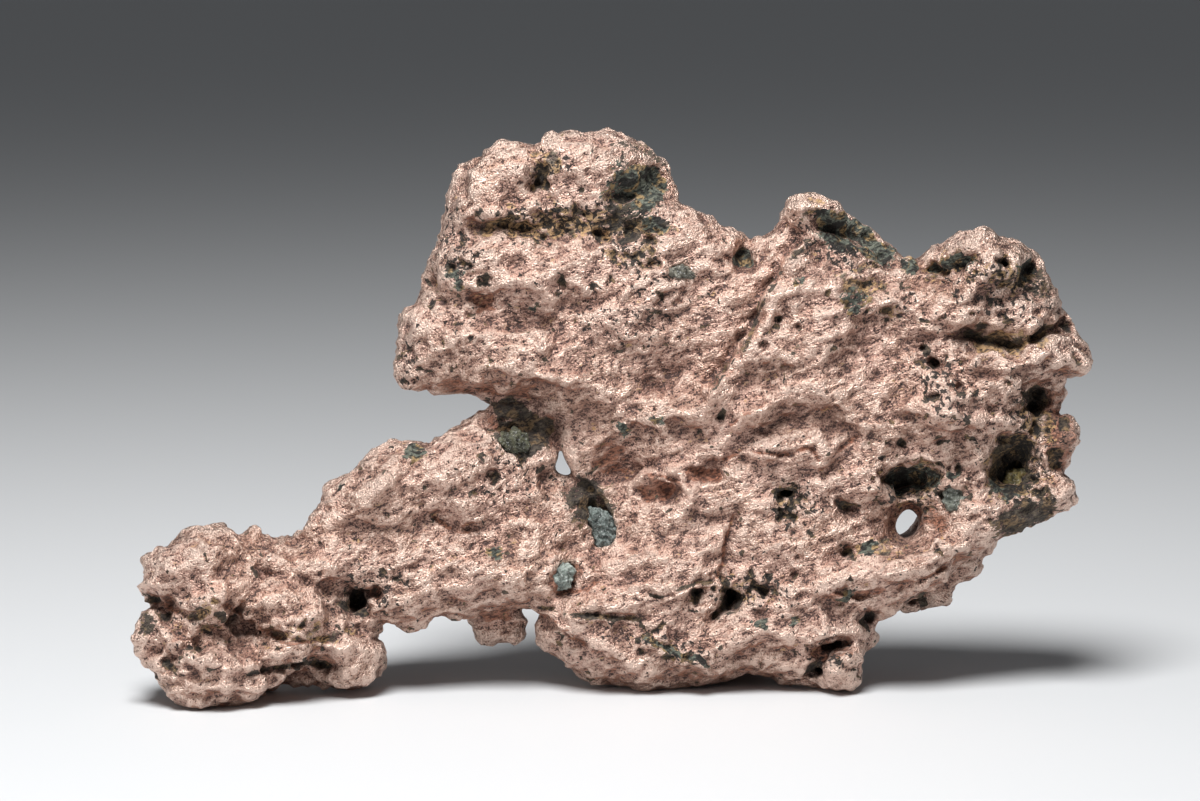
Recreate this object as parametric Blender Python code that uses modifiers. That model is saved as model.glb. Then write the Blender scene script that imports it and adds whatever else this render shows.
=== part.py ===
"""A native copper nugget: one heavy lump of folded, water-worn sheets that stands on its lower
edge, with a few remnants of green host rock held in its pockets.

Run it with blender --background --python part.py, or from Blender's text editor.

The nugget faces -Y, stands on z = 0, and has its origin under the middle of its box. Every size
below is in millimetres. A place on the face is (x, z): to the right of the middle of the length,
and up from the lowest foot. Depth is y, away from the face.
"""

import math
import random
from collections import namedtuple

import bmesh
import bpy
import numpy as np
from mathutils import Euler, Matrix, Vector, noise
from mathutils.bvhtree import BVHTree

# Driving dimensions.
NUGGET_LENGTH = 95.4
DRAWN_LENGTH = 95.4  # the length that the outlines below are drawn to
MM = 0.001 * NUGGET_LENGTH / DRAWN_LENGTH

FALL = math.tan(math.radians(8.0))  # how far the sheets fall, per unit of depth
STANCE_DEPTH = -5.6  # the depth at which a foot drawn at height 0 meets the ground
POCKET_GAP = 0.3  # between a remnant of rock and the wall of its pocket
SHEET_VOXEL = 0.45
LUMP_VOXEL = 0.36
FACES = 8750

# The body, a thick sheet: its edge runs clockwise from the lower corner of the upper lobe.
UPPER_LOBE_LEFT = [
    (-21.5, 32.8), (-21.6, 34.1), (-22.3, 35.9), (-21.7, 37.7), (-21.6, 39.5), (-20.9, 40.2),
    (-19.9, 40.1), (-19.1, 41.6), (-18.7, 42.5), (-19.5, 43.0), (-18.5, 44.6), (-17.8, 45.9),
    (-17.5, 47.5), (-17.5, 50.3), (-16.6, 51.7), (-15.7, 52.8), (-15.2, 54.2), (-13.5, 54.9),
]
UPPER_LOBE_TOP = [
    (-11.8, 56.3), (-10.3, 56.3), (-8.8, 56.8), (-7.5, 56.0), (-6.7, 57.3), (-3.7, 57.8),
    (-2.3, 57.4), (-0.9, 57.7), (0.7, 57.4), (2.5, 56.8), (3.5, 55.9), (5.6, 54.9),
    (5.4, 54.3), (5.9, 52.9), (5.8, 51.7), (6.1, 50.2),
]
SADDLE = [
    (7.5, 50.1), (8.4, 49.5), (10.3, 48.3), (12.0, 47.9), (12.7, 47.2), (13.6, 46.6),
    (14.9, 47.8), (16.5, 48.7),
]
CREST = [
    (16.7, 50.2), (17.6, 51.1), (19.1, 51.5), (20.9, 51.2), (21.7, 50.1), (22.5, 50.1),
    (23.6, 49.0), (25.1, 48.5), (26.7, 46.9), (27.8, 45.8), (29.0, 44.7), (30.6, 44.2),
]
CROWN = [
    (31.1, 45.4), (33.0, 46.7), (34.9, 47.6), (36.4, 47.3), (37.6, 47.6), (39.7, 46.8),
    (41.5, 45.9), (42.6, 44.7), (42.5, 43.4), (43.6, 41.6), (44.5, 40.1), (45.7, 38.4),
    (46.9, 36.8), (47.5, 35.1), (47.8, 34.0), (47.5, 33.3),
]
RIGHT_EDGE = [
    (45.1, 34.0), (44.1, 33.5), (44.7, 32.2), (44.5, 30.7), (44.1, 29.2), (45.6, 27.5),
    (46.1, 25.0), (45.3, 24.1), (44.8, 22.7), (45.7, 21.4), (46.5, 21.2), (45.7, 20.2),
    (43.5, 18.9), (41.3, 17.9), (38.9, 16.7),
]
LOWER_RIGHT = [
    (37.6, 15.9), (34.5, 14.0), (31.5, 11.4), (28.8, 9.8), (27.8, 9.1), (26.4, 8.7),
    (26.3, 7.3), (25.6, 5.4), (24.2, 3.9), (24.0, 2.5), (23.3, 1.3), (21.9, 1.1),
    (20.3, 1.3), (18.9, 2.0), (16.1, 2.4), (14.5, 3.1), (13.2, 3.2), (11.3, 2.2),
]
KEEL = [
    (9.1, 1.7), (5.7, 1.8), (3.0, 1.4), (-1.0, 1.5), (-2.7, 2.2), (-4.5, 3.9), (-6.5, 5.3),
    (-7.4, 6.4), (-7.6, 7.7), (-7.0, 8.6), (-5.5, 10.9), (-1.8, 14.9), (-0.8, 19.5),
]
LIP = [
    (-2.4, 21.6), (-4.9, 23.4), (-5.7, 25.2), (-6.1, 26.9), (-6.4, 28.5), (-7.0, 29.6),
    (-9.5, 30.7), (-11.8, 31.0), (-14.7, 31.8), (-18.5, 31.9), (-20.7, 32.2),
]
BODY_EDGE = (
    UPPER_LOBE_LEFT + UPPER_LOBE_TOP + SADDLE + CREST + CROWN + RIGHT_EDGE + LOWER_RIGHT + KEEL + LIP
)
WINDOW = [
    (28.4, 18.3), (28.5, 17.3), (29.1, 16.8), (29.8, 16.9), (30.4, 17.5), (30.6, 18.5), (30.3, 19.3),
    (29.6, 19.6), (28.8, 19.2),
]

# The slit between the body's lip and the arm. It and the window go clear through every sheet.
SLIT = [
    (-6.5, 29.0), (-6.0, 28.8), (-5.4, 26.5), (-4.8, 24.8), (-4.2, 23.8), (-4.0, 23.0),
    (-5.2, 22.9), (-6.3, 23.3), (-6.5, 24.3), (-6.1, 25.0), (-6.1, 26.6), (-6.5, 28.0),
]
OPENING_HALF = 26.0

# The arm, which reaches down to the left from behind the lip of the body.
ARM_ROOT = [
    (-12.2, 30.7), (-10.0, 31.0), (-6.7, 30.1), (-6.2, 28.1), (-5.7, 26.4), (-5.2, 24.7),
    (-5.8, 23.3), (-4.4, 22.4), (-2.5, 21.5), (-0.5, 18.9), (1.5, 14.9), (3.5, 10.9),
    (2.5, 8.9), (-1.5, 9.1), (-4.5, 9.5), (-7.0, 9.9), (-9.3, 10.0),
]
ARM_BELOW = [
    (-12.5, 9.7), (-14.5, 9.2), (-16.7, 8.8), (-19.0, 8.5), (-19.7, 7.8), (-20.5, 7.4),
    (-21.5, 7.8), (-22.3, 8.4), (-23.5, 8.3), (-23.8, 7.6), (-24.7, 6.4), (-24.1, 5.2),
    (-23.6, 3.7), (-23.9, 2.4), (-24.9, 1.7), (-27.0, 1.4), (-29.0, 1.7), (-29.7, 2.2),
    (-31.5, 2.7), (-32.9, 3.1), (-34.3, 2.6),
]
KNOB = [
    (-34.9, 1.3), (-36.7, 0.7), (-38.7, 0.6), (-41.5, 0.0), (-42.9, 0.4), (-43.7, 1.0),
    (-43.7, 2.3), (-45.0, 3.4), (-46.5, 4.4), (-46.9, 5.4), (-47.7, 6.4), (-47.6, 8.1),
    (-47.0, 9.9), (-46.4, 10.5), (-46.9, 11.9), (-46.4, 13.9), (-45.3, 15.1), (-43.7, 16.3),
    (-43.1, 17.4), (-41.7, 17.9), (-40.4, 17.8), (-39.3, 18.4), (-38.3, 17.7), (-37.0, 17.8),
    (-36.1, 18.5), (-35.5, 18.1), (-35.5, 17.2),
]
ARM_ABOVE = [
    (-34.3, 16.7), (-33.1, 16.2), (-31.8, 16.5), (-31.0, 17.2), (-31.2, 18.0), (-29.7, 19.8),
    (-28.5, 21.9), (-27.0, 23.0), (-25.4, 24.0), (-24.2, 25.8), (-23.1, 26.6), (-20.7, 26.6),
    (-19.7, 25.9), (-18.8, 26.0), (-17.7, 27.2), (-16.5, 27.7), (-15.2, 27.9), (-14.7, 28.8),
    (-13.4, 29.0), (-12.9, 29.9),
]
ARM_EDGE = ARM_ROOT + ARM_BELOW + KNOB + ARM_ABOVE

# Thinner sheets that show behind the front ones.
REAR_FLAP = [
    (39.0, 17.6), (38.0, 15.6), (37.7, 14.3), (37.4, 12.5), (35.5, 11.6), (34.5, 11.0),
    (34.2, 9.4), (32.3, 9.3), (29.0, 9.7), (25.0, 11.0), (27.0, 17.0), (34.0, 19.5),
]
TAB = [
    (-15.2, 11.5), (-14.8, 7.6), (-14.6, 6.6), (-13.6, 5.9), (-12.0, 6.0), (-10.1, 6.3),
    (-9.6, 7.0), (-9.6, 8.2), (-9.0, 11.5),
]
UPPER_BACK = [
    (-15.0, 38.0), (-12.5, 47.0), (-6.0, 52.5), (1.0, 51.5), (8.0, 45.5), (16.0, 44.0),
    (24.0, 45.0), (33.0, 42.5), (39.5, 38.0), (40.0, 27.0), (34.8, 23.4), (27.4, 22.2),
    (22.5, 15.5),
    (10.0, 16.0), (0.0, 26.0), (-8.0, 33.5),
]
LOWER_BACK = [
    (-10.0, 14.0), (0.0, 22.0), (14.0, 24.0), (24.5, 19.5), (24.0, 8.0), (17.0, 3.6),
    (9.0, 2.7), (1.5, 2.9), (-4.0, 7.5),
]

# depth is the middle plane's at (0, 0) on the face; across and up say how much deeper it lies
# for each unit to the right and upwards; rim is how far in from its edge a sheet reaches its
# full thickness.
Sheet = namedtuple("Sheet", "edge holes depth across up half rim")
SHEETS = {
    "body": Sheet(BODY_EDGE, [WINDOW], 4.0, -0.010, 0.004, 3.6, 4.0),
    "arm": Sheet(ARM_EDGE, [], 6.4, 0.165, -0.040, 3.3, 3.6),
    "rear_flap": Sheet(REAR_FLAP, [], 8.2, 0.0, 0.0, 1.7, 1.6),
    "tab": Sheet(TAB, [], 6.4, 0.0, 0.0, 1.3, 1.2),
    "upper_back": Sheet(UPPER_BACK, [], 7.4, 0.0, 0.010, 3.2, 6.0),
    "lower_back": Sheet(LOWER_BACK, [], 8.6, 0.0, 0.0, 3.4, 5.0),
}

# Rounded lumps that swell out of the sheets: middle (x, depth, z), half sizes, roll in degrees.
Lump = namedtuple("Lump", "middle half roll")
LUMPS = [
    # The knob and its feet.
    Lump((-41.4, -2.8, 13.0), (5.6, 4.6, 4.5), 14),
    Lump((-43.6, -3.4, 7.0), (3.9, 4.0, 4.7), -14),
    Lump((-39.9, -4.4, 3.7), (4.9, 3.8, 3.7), -16),
    Lump((-34.6, -2.4, 4.9), (4.6, 3.6, 2.3), 14),
    Lump((-26.7, -0.6, 4.7), (3.0, 3.0, 2.9), -35),
    Lump((-33.0, -1.8, 10.0), (5.0, 3.6, 3.0), -32),
    Lump((-34.0, 2.2, 12.0), (6.0, 4.0, 4.0), 10),
    # The arm's thicker back.
    Lump((-28.5, 5.0, 13.5), (7.0, 3.4, 4.4), 25),
    Lump((-19.0, 7.0, 18.6), (10.5, 3.0, 6.6), 22),
    # The knobs on the upper edge.
    Lump((20.0, 0.6, 49.4), (3.0, 2.2, 1.9), -12),
    Lump((36.6, 1.2, 45.1), (4.4, 2.8, 2.4), 0),
    # The feet of the keel: a front one at the right, and a broad one behind.
    Lump((22.4, 2.2, 3.4), (2.2, 3.0, 2.9), 20),
    Lump((3.2, 3.6, 5.0), (7.6, 3.2, 3.9), 0),
    Lump((9.0, 10.6, 6.3), (8.4, 4.4, 4.6), 0),
    # The rolled right rim.
    Lump((45.0, 3.0, 26.6), (1.3, 3.0, 2.4), 0),
    Lump((44.6, 2.4, 21.6), (1.5, 3.2, 1.6), -30),
    # The bulges of the back.
    Lump((-6.0, 7.8, 46.0), (8.6, 3.6, 7.6), 10),
    Lump((25.0, 8.6, 34.0), (10.0, 4.0, 8.0), -20),
]

# Relief of the face. A swell is a broad rise or hollow, a line is a ridge or furrow, a ledge is
# the edge of a sheet that laps over the next, and a pit is a small deep hole. A rise stands
# towards the viewer, and a negative one sinks in. Lengths of fade and wide are half widths.
Swell = namedtuple("Swell", "x z wide high roll rise")
SWELLS = [
    Swell(-11.5, 53.2, 6.4, 3.6, 20, 1.4),
    Swell(-2.5, 54.0, 5.0, 2.4, 0, 1.1),
    Swell(-8.5, 43.6, 8.0, 2.4, -6, 1.3),
    Swell(-11.0, 36.4, 8.0, 3.2, -10, 1.5),
    Swell(-20.4, 36.4, 1.8, 4.4, 10, -1.0),
    Swell(2.0, 40.0, 5.0, 3.4, 35, 0.9),
    Swell(4.0, 52.6, 2.0, 2.0, 0, -2.6),
    Swell(8.6, 46.6, 3.4, 2.4, -25, 0.8),
    Swell(22.0, 41.5, 4.4, 3.4, 10, 0.9),
    Swell(19.6, 36.4, 5.4, 4.4, 40, 1.2),
    Swell(27.4, 37.6, 3.4, 5.0, 10, -0.9),
    Swell(34.8, 40.4, 4.6, 1.7, 12, 1.3),
    Swell(35.5, 31.4, 7.6, 2.2, 8, 1.6),
    Swell(26.0, 30.4, 4.6, 2.8, -15, 0.7),
    Swell(0.4, 23.6, 5.4, 3.2, -50, -2.8),
    Swell(-3.6, 28.6, 3.4, 2.8, -50, -1.0),
    Swell(9.4, 24.2, 2.6, 1.1, 20, -1.2),
    Swell(-20.4, 21.8, 6.4, 3.0, 30, 1.2),
    Swell(-12.0, 13.6, 7.4, 2.6, -4, 1.4),
    Swell(-24.4, 17.4, 3.8, 1.0, -14, -1.1),
    Swell(-10.0, 28.4, 3.4, 1.7, -15, -2.4),
    Swell(3.0, 14.6, 5.0, 2.0, 12, 1.0),
    Swell(-1.6, 5.6, 4.4, 2.2, -25, 0.8),
    Swell(13.0, 4.6, 5.4, 1.7, 4, 0.9),
    Swell(19.0, 12.0, 4.4, 1.6, 15, 0.8),
    Swell(27.6, 13.8, 8.4, 1.4, 14, 1.6),
    Swell(30.2, 19.2, 4.0, 2.4, 0, -1.8),
    Swell(17.0, 16.4, 4.8, 2.2, 12, 0.9),
    Swell(39.6, 24.2, 2.9, 3.3, 10, -3.4),
    Swell(42.2, 30.6, 2.0, 2.2, 0, -2.6),
    Swell(42.4, 18.8, 3.4, 1.2, 22, 1.1),
    Swell(21.6, 47.9, 3.6, 1.3, -22, -1.5),
    Swell(-30.6, 13.4, 4.0, 2.0, -20, 0.9),
    Swell(-37.4, 14.6, 1.8, 2.4, 20, -0.8),
]

Line = namedtuple("Line", "points wide rise")
LINES = [
    # The long crack that runs down from the saddle.
    Line([(17.5, 45.8), (15.9, 43.4), (14.9, 42.0), (13.8, 40.0), (13.3, 37.9), (12.2, 35.9),
          (10.6, 33.8), (9.2, 31.9)], 0.45, -1.1),
    # Folds of the middle.
    Line([(12.0, 26.9), (15.5, 28.4), (18.5, 29.6), (21.5, 29.1), (24.5, 27.9)], 1.0, -1.0),
    Line([(12.5, 28.9), (16.0, 30.6), (19.0, 31.6), (22.5, 31.0)], 1.1, 0.9),
    Line([(3.0, 22.9), (5.3, 23.4), (7.3, 22.2), (7.5, 20.4), (6.3, 18.9)], 0.8, 1.4),
    Line([(1.0, 30.2), (3.5, 31.2), (5.3, 31.9)], 0.7, -0.8),
    Line([(-2.0, 26.6), (1.5, 28.6), (4.5, 29.4), (8.0, 29.0)], 1.2, 0.9),
    Line([(12.0, 19.7), (11.6, 17.4), (10.9, 15.1), (10.0, 13.1)], 0.6, -1.0),
    Line([(20.3, 23.7), (21.6, 24.9), (23.0, 26.2), (24.0, 27.1)], 0.7, -0.9),
    # The rough band across the upper lobe, and creases under it.
    Line([(-13.0, 48.1), (-10.5, 48.4), (-7.5, 47.8), (-4.5, 48.6), (0.5, 49.0), (3.5, 48.2)], 1.2, -0.8),
    Line([(-8.9, 55.9), (-8.0, 54.4), (-7.4, 52.6)], 0.9, -1.4),
    Line([(-19.0, 43.0), (-17.6, 41.6), (-16.4, 40.2)], 0.9, -1.3),
    Line([(-17.5, 38.6), (-13.5, 39.2), (-9.5, 38.9), (-6.0, 37.4)], 1.1, -0.8),
    Line([(-14.0, 33.6), (-9.5, 34.2), (-5.0, 33.4), (-1.0, 31.8)], 1.0, 0.9),
    # Under the crown: a long slot with raised rims.
    Line([(34.7, 37.3), (37.0, 36.6), (39.5, 36.4), (43.4, 38.1)], 0.9, -2.8),
    Line([(34.3, 38.9), (37.5, 38.4), (40.5, 38.4), (43.0, 39.6)], 0.8, 0.8),
    Line([(35.3, 34.8), (39.5, 34.6), (43.5, 35.4), (46.5, 34.4)], 0.9, 1.2),
    Line([(44.3, 39.0), (45.1, 38.3), (46.0, 37.6)], 0.7, -1.8),
    # The keel and the foot.
    Line([(10.5, 7.2), (14.0, 8.0), (18.0, 7.6), (21.0, 8.4)], 1.1, 0.9),
    Line([(11.0, 4.9), (15.0, 5.7), (18.5, 5.4)], 0.9, -0.8),
    Line([(19.5, 6.8), (21.5, 7.5), (23.6, 7.3), (24.4, 6.7)], 0.8, 1.2),
    Line([(21.0, 3.1), (22.0, 4.2), (23.0, 5.2), (24.2, 4.8)], 0.7, 1.2),
    # The knob's furrows and ribs.
    Line([(-38.0, 4.4), (-35.5, 5.2), (-32.5, 5.5), (-29.5, 5.9), (-27.0, 6.6)], 0.9, 1.1),
    Line([(-36.0, 3.4), (-33.5, 4.0), (-31.0, 4.1), (-28.8, 3.9)], 0.9, -1.6),
    Line([(-40.0, 9.9), (-40.0, 6.9), (-40.3, 5.4)], 0.9, 0.9),
    Line([(-46.5, 10.5), (-45.0, 10.4), (-43.7, 9.7), (-43.7, 8.1)], 0.9, -1.8),
    Line([(-38.4, 14.6), (-34.5, 13.0), (-30.5, 12.0), (-26.5, 12.2)], 0.9, -1.0),
    Line([(-45.4, 13.6), (-42.4, 14.8), (-39.4, 15.2)], 0.8, 0.8),
    Line([(-19.5, 19.6), (-17.5, 18.4), (-16.0, 17.6), (-14.5, 17.6)], 0.7, -1.0),
    Line([(-18.0, 24.4), (-16.4, 22.4), (-15.0, 20.0), (-14.8, 18.4)], 1.0, 0.9),
]

# A ledge stands up on the left of its line and fades away from it.
Ledge = namedtuple("Ledge", "points rise fade")
LEDGES = [
    Ledge([(17.8, 45.8), (16.3, 43.5), (15.3, 42.1), (14.1, 40.1), (13.7, 38.0), (12.5, 35.9),
           (10.9, 33.9), (9.5, 31.8)], 1.7, 3.6),
    Ledge([(5.0, 46.8), (0.5, 47.2), (-5.5, 46.4), (-11.5, 46.9), (-16.0, 46.0)], 1.2, 3.4),
    Ledge([(10.7, 24.8), (12.6, 25.7), (15.2, 25.3), (17.1, 25.3), (18.2, 26.0), (19.4, 25.9),
           (20.1, 24.9)], 1.1, 2.8),
    Ledge([(10.6, 27.6), (12.5, 28.9), (14.8, 30.2)], 0.9, 2.4),
    # Overlaps of the lower sheets.
    Ledge([(-11.1, 10.7), (-8.5, 9.7), (-7.0, 9.4), (-5.5, 8.2), (-3.5, 6.9), (-1.9, 5.3),
           (0.6, 3.9), (3.4, 3.2)], 1.2, 4.2),
    Ledge([(-7.5, 9.8), (-5.0, 9.2), (-2.5, 8.9), (-0.5, 8.7), (1.0, 8.8), (2.5, 8.5)], 1.0, 3.0),
    Ledge([(3.4, 11.3), (4.1, 11.0), (5.5, 11.2), (7.5, 12.1), (9.7, 12.6)], 1.0, 2.6),
    Ledge([(2.8, 6.8), (4.0, 6.0), (5.3, 5.7), (6.5, 5.1), (8.0, 5.1), (9.0, 4.1)], 1.2, 3.0),
    Ledge([(21.3, 11.3), (24.0, 10.9), (27.0, 11.6), (30.0, 12.6), (33.0, 13.9)], 0.9, 2.4),
    # Sheets that end on the right.
    Ledge([(35.0, 41.4), (37.0, 42.7), (38.5, 43.9)], 1.3, 2.6),
    Ledge([(30.0, 29.4), (33.5, 28.9), (36.6, 28.3), (39.5, 28.6)], 1.2, 3.0),
    Ledge([(27.0, 20.6), (29.0, 20.9), (31.5, 20.6), (33.6, 19.4)], -0.8, 1.6),
    # Folds of the arm and of the knob.
    Ledge([(-38.7, 10.8), (-36.4, 9.0), (-34.4, 7.7), (-32.2, 6.7), (-28.5, 6.7)], 1.4, 2.6),
    Ledge([(-30.6, 9.6), (-28.0, 8.3), (-24.6, 7.6), (-21.5, 8.4)], 0.8, 2.4),
    Ledge([(-28.4, 20.8), (-26.0, 20.4), (-23.6, 21.6), (-22.0, 23.4)], 0.9, 2.4),
]

Pit = namedtuple("Pit", "x z wide high roll deep")
PITS = [
    # The lower middle.
    Pit(11.6, 10.5, 1.5, 1.5, 0, 3.6), Pit(13.6, 13.1, 0.8, 0.5, 0, 1.6),
    Pit(15.4, 11.9, 1.3, 0.7, 5, 2.0), Pit(7.7, 11.2, 0.7, 0.9, -10, 2.0),
    Pit(9.9, 9.2, 0.5, 0.8, 0, 1.8), Pit(17.2, 21.3, 1.6, 0.8, 0, 2.6),
    Pit(16.9, 19.3, 1.1, 0.7, -20, 2.0), Pit(23.4, 20.3, 1.4, 0.6, 8, 2.0),
    Pit(23.5, 15.2, 0.9, 0.6, 10, 2.2), Pit(25.2, 8.9, 1.0, 0.8, 0, 1.5),
    # The holes of the right side.
    Pit(29.7, 22.9, 2.8, 1.5, 4, 3.6), Pit(30.9, 35.4, 0.6, 0.9, 30, 2.0),
    Pit(31.7, 33.8, 0.8, 0.8, 0, 2.8), Pit(33.6, 32.2, 0.6, 0.8, 30, 2.4),
    Pit(31.2, 31.1, 0.8, 0.5, -25, 2.0), Pit(33.4, 44.6, 2.1, 0.7, 4, 1.8),
    Pit(38.3, 44.9, 0.7, 0.8, -20, 2.8), Pit(40.7, 43.8, 1.3, 1.2, 0, 2.2),
    Pit(46.3, 35.6, 1.0, 0.5, -10, 1.4), Pit(26.7, 39.6, 0.9, 0.5, 15, 1.8),
    Pit(28.8, 26.7, 0.7, 0.6, 0, 2.0), Pit(34.8, 26.9, 0.8, 0.6, -10, 2.0),
    Pit(34.7, 28.4, 0.6, 0.8, 0, 1.6), Pit(34.1, 24.3, 0.8, 0.8, 0, 1.6),
    Pit(39.8, 24.0, 2.2, 2.4, 30, 1.3), Pit(42.3, 31.0, 1.6, 1.4, 20, 3.0),
    Pit(42.4, 27.9, 0.8, 1.1, 10, 2.2), Pit(30.6, 10.4, 1.4, 0.7, 10, 2.0),
    # The foot.
    Pit(20.1, 3.6, 1.0, 1.0, 0, 3.6), Pit(21.8, 5.8, 1.7, 0.9, 16, 3.0),
    # The arm and the knob.
    Pit(-26.3, 10.4, 1.4, 1.4, 0, 4.0), Pit(-30.2, 4.2, 1.8, 0.7, -4, 3.4),
    Pit(-24.6, 11.6, 1.4, 0.8, 15, 1.6), Pit(-43.9, 4.4, 0.9, 0.6, -25, 1.8),
    Pit(-41.6, 6.0, 0.8, 0.5, -20, 1.4), Pit(-38.5, 9.1, 0.8, 0.6, 10, 1.8),
    Pit(-44.4, 9.1, 0.8, 0.7, 0, 2.0), Pit(-45.7, 10.9, 0.8, 0.6, 0, 1.6),
    Pit(-36.0, 13.8, 0.7, 0.5, 0, 1.4), Pit(-12.6, 23.2, 0.8, 0.6, 20, 1.8),
    Pit(-16.0, 21.9, 0.8, 0.5, 20, 1.2), Pit(-12.9, 28.0, 0.7, 0.5, 0, 1.2),
    # The upper lobe.
    Pit(0.8, 51.6, 2.0, 0.8, -20, 2.0), Pit(-8.0, 52.7, 0.9, 1.1, 20, 1.8),
    Pit(-14.3, 48.9, 1.2, 0.6, 35, 1.6), Pit(-15.9, 43.9, 0.6, 0.8, 0, 1.6),
    Pit(-5.3, 42.8, 0.8, 0.9, 0, 1.6), Pit(-12.6, 42.8, 0.6, 0.6, 0, 1.4),
    Pit(-13.4, 41.1, 1.4, 0.6, 10, 1.2), Pit(3.0, 47.0, 0.9, 0.7, 0, 1.8),
    Pit(-1.4, 47.6, 0.9, 0.6, 0, 1.8), Pit(-10.5, 48.4, 1.5, 0.6, 0, 1.6),
    Pit(4.5, 40.9, 0.6, 0.6, 0, 1.2), Pit(12.4, 45.2, 1.1, 0.9, 0, 1.8),
    # The upper middle.
    Pit(21.0, 48.3, 2.0, 0.8, -12, 1.5), Pit(24.5, 46.9, 1.4, 0.7, -20, 1.4),
    Pit(16.2, 39.3, 0.6, 0.8, 0, 1.6), Pit(18.2, 38.2, 0.6, 0.5, 0, 1.4),
    Pit(10.7, 29.6, 0.7, 0.7, 0, 1.6), Pit(15.4, 38.6, 0.5, 0.7, 20, 1.6),
    Pit(23.6, 41.4, 1.3, 0.7, 20, 1.0), Pit(5.0, 22.0, 1.6, 0.8, 0, 1.0),
]

# The back was never pressed against one wall, so its relief follows no line: it is scattered.
BACK_SEED = 11
BACK_SWELLS = 34
BACK_LEDGES = 26
BACK_PITS = 36
BACK_REACH = ((-42.0, 44.0), (4.0, 54.0))
BACK_RISES = (-1.6, -1.1, 1.0, 1.5)
SWELL_WIDE, SWELL_HIGH, SWELL_ROLL = (3.0, 8.0), (1.6, 4.0), (-60.0, 60.0)
LEDGE_STRIDES = 5
LEDGE_STRIDE = 2.6
LEDGE_RISE, LEDGE_FADE = (0.8, 1.6), (2.0, 4.0)
LEDGE_HEADING, LEDGE_BEND = 0.9, 0.45  # the most that a ledge leans from level, and turns at a stride
PIT_SIZE, PIT_FLATNESS, PIT_DEEP = (0.7, 1.5), (0.5, 1.0), (1.2, 2.8)

# The cut of the relief.
LEDGE_STEP = 0.45  # half the width over which a ledge rises
LEDGE_END = 1.2  # how far past the ends of its line a ledge dies away
PIT_FLOOR, PIT_RIM = 0.5, 1.3  # where a pit's wall ends and starts, counted in its half sizes
FACING = 0.5  # how far the skin has to turn to a side before it takes the whole relief of that side
RIM_LEAST = 0.04  # keeps the very rim of a sheet from closing to an edge

# The skin: the amount of each kind of noise and the size of its lumps. The knob is crumpled more.
ROUGHNESS = (0.38, 4.0)
WIDE_CRUMPLE = (0.55, 4.4)
FINE_CRUMPLE = (0.28, 2.3)
KNOB_CRUMPLE = (0.75, 3.0)
KNOB_FROM, KNOB_TO = -27.0, -34.0  # across which the arm's skin turns into the knob's
# What is pressed into the skin is first pushed about by these, so that its edges run ragged.
RAGGED = ((0.7, 2.4), (0.8, 5.5))
NOISE_SEED = 5

# The folds of the copper are longer across, along a line that climbs to the right.
GRAIN_ROLL = math.radians(18.0)
FOLD_GRAIN = np.array([
    [0.6 * math.cos(GRAIN_ROLL), 0.0, -math.sin(GRAIN_ROLL)],
    [0.0, 0.8, 0.0],
    [0.6 * math.sin(GRAIN_ROLL), 0.0, math.cos(GRAIN_ROLL)],
])

# Remnants of the host rock. Each is a rough crystal wedged in the skin: its place on the face, how
# far its middle lies behind the skin there, its half sizes, its turn about the three axes, and
# the seed of its corners.
Rock = namedtuple("Rock", "x z sunk half turn seed")
ROCKS = {
    "groove_rock": Rock(-1.2, 17.6, 0.9, (1.7, 1.7, 2.9), (0, -28, 10), 3),
    "hollow_rock": Rock(-10.3, 26.5, 0.8, (1.8, 1.5, 1.5), (8, 4, 0), 5),
    "arm_crystal": Rock(-5.4, 13.0, 0.6, (1.2, 1.3, 1.6), (0, 20, 15), 8),
    "lobe_pebble": Rock(6.2, 43.7, 0.9, (1.7, 1.4, 1.1), (0, 5, 0), 13),
    "cave_crystal": Rock(33.9, 21.0, 0.8, (1.1, 1.4, 1.8), (0, -12, 0), 21),
    "rim_crystal": Rock(40.5, 22.6, 0.5, (1.2, 1.3, 1.5), (0, 25, 20), 34),
}
ROCK_CORNERS = 26
AHEAD = -100.0  # a depth well in front of the face
GROUND_BLOCK = (200.0, 200.0, 20.0)
SHARP_EDGE = math.radians(40.0)
MERGE = 1e-6
COPPER = ((0.80, 0.43, 0.31, 1.0), 0.42, 1.0)
HOST_ROCK = ((0.17, 0.23, 0.19, 1.0), 0.78, 0.0)


def material(name, colour, roughness, metallic):
    made = bpy.data.materials.new(name)
    made.use_nodes = True
    shader = made.node_tree.nodes["Principled BSDF"]
    shader.inputs["Base Color"].default_value = colour
    shader.inputs["Roughness"].default_value = roughness
    shader.inputs["Metallic"].default_value = metallic
    return made


def baked(obj):
    """Applies every modifier of an object, or turns a curve into a mesh, in place."""
    graph = bpy.context.evaluated_depsgraph_get()
    mesh = bpy.data.meshes.new_from_object(obj.evaluated_get(graph))
    made = bpy.data.objects.new(obj.name, mesh)
    made.matrix_world = obj.matrix_world.copy()
    for collection in obj.users_collection:
        collection.objects.link(made)
    name = obj.name
    bpy.data.objects.remove(obj)
    made.name = name
    return made


def points_of(mesh):
    """The mesh's vertices in millimetres, as an array of (x, depth, z)."""
    flat = np.empty(len(mesh.vertices) * 3, np.float32)
    mesh.vertices.foreach_get("co", flat)
    return flat.reshape(-1, 3).astype(float) / MM


def normals_of(mesh):
    flat = np.empty(len(mesh.vertices) * 3, np.float32)
    mesh.vertex_normals.foreach_get("vector", flat)
    return flat.reshape(-1, 3).astype(float)


def set_points(mesh, points):
    mesh.vertices.foreach_set("co", (points * MM).astype(np.float32).ravel())
    mesh.update()


def smoothstep(low, high, value):
    t = np.clip((value - low) / (high - low), 0.0, 1.0)
    return t * t * (3.0 - 2.0 * t)


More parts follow.
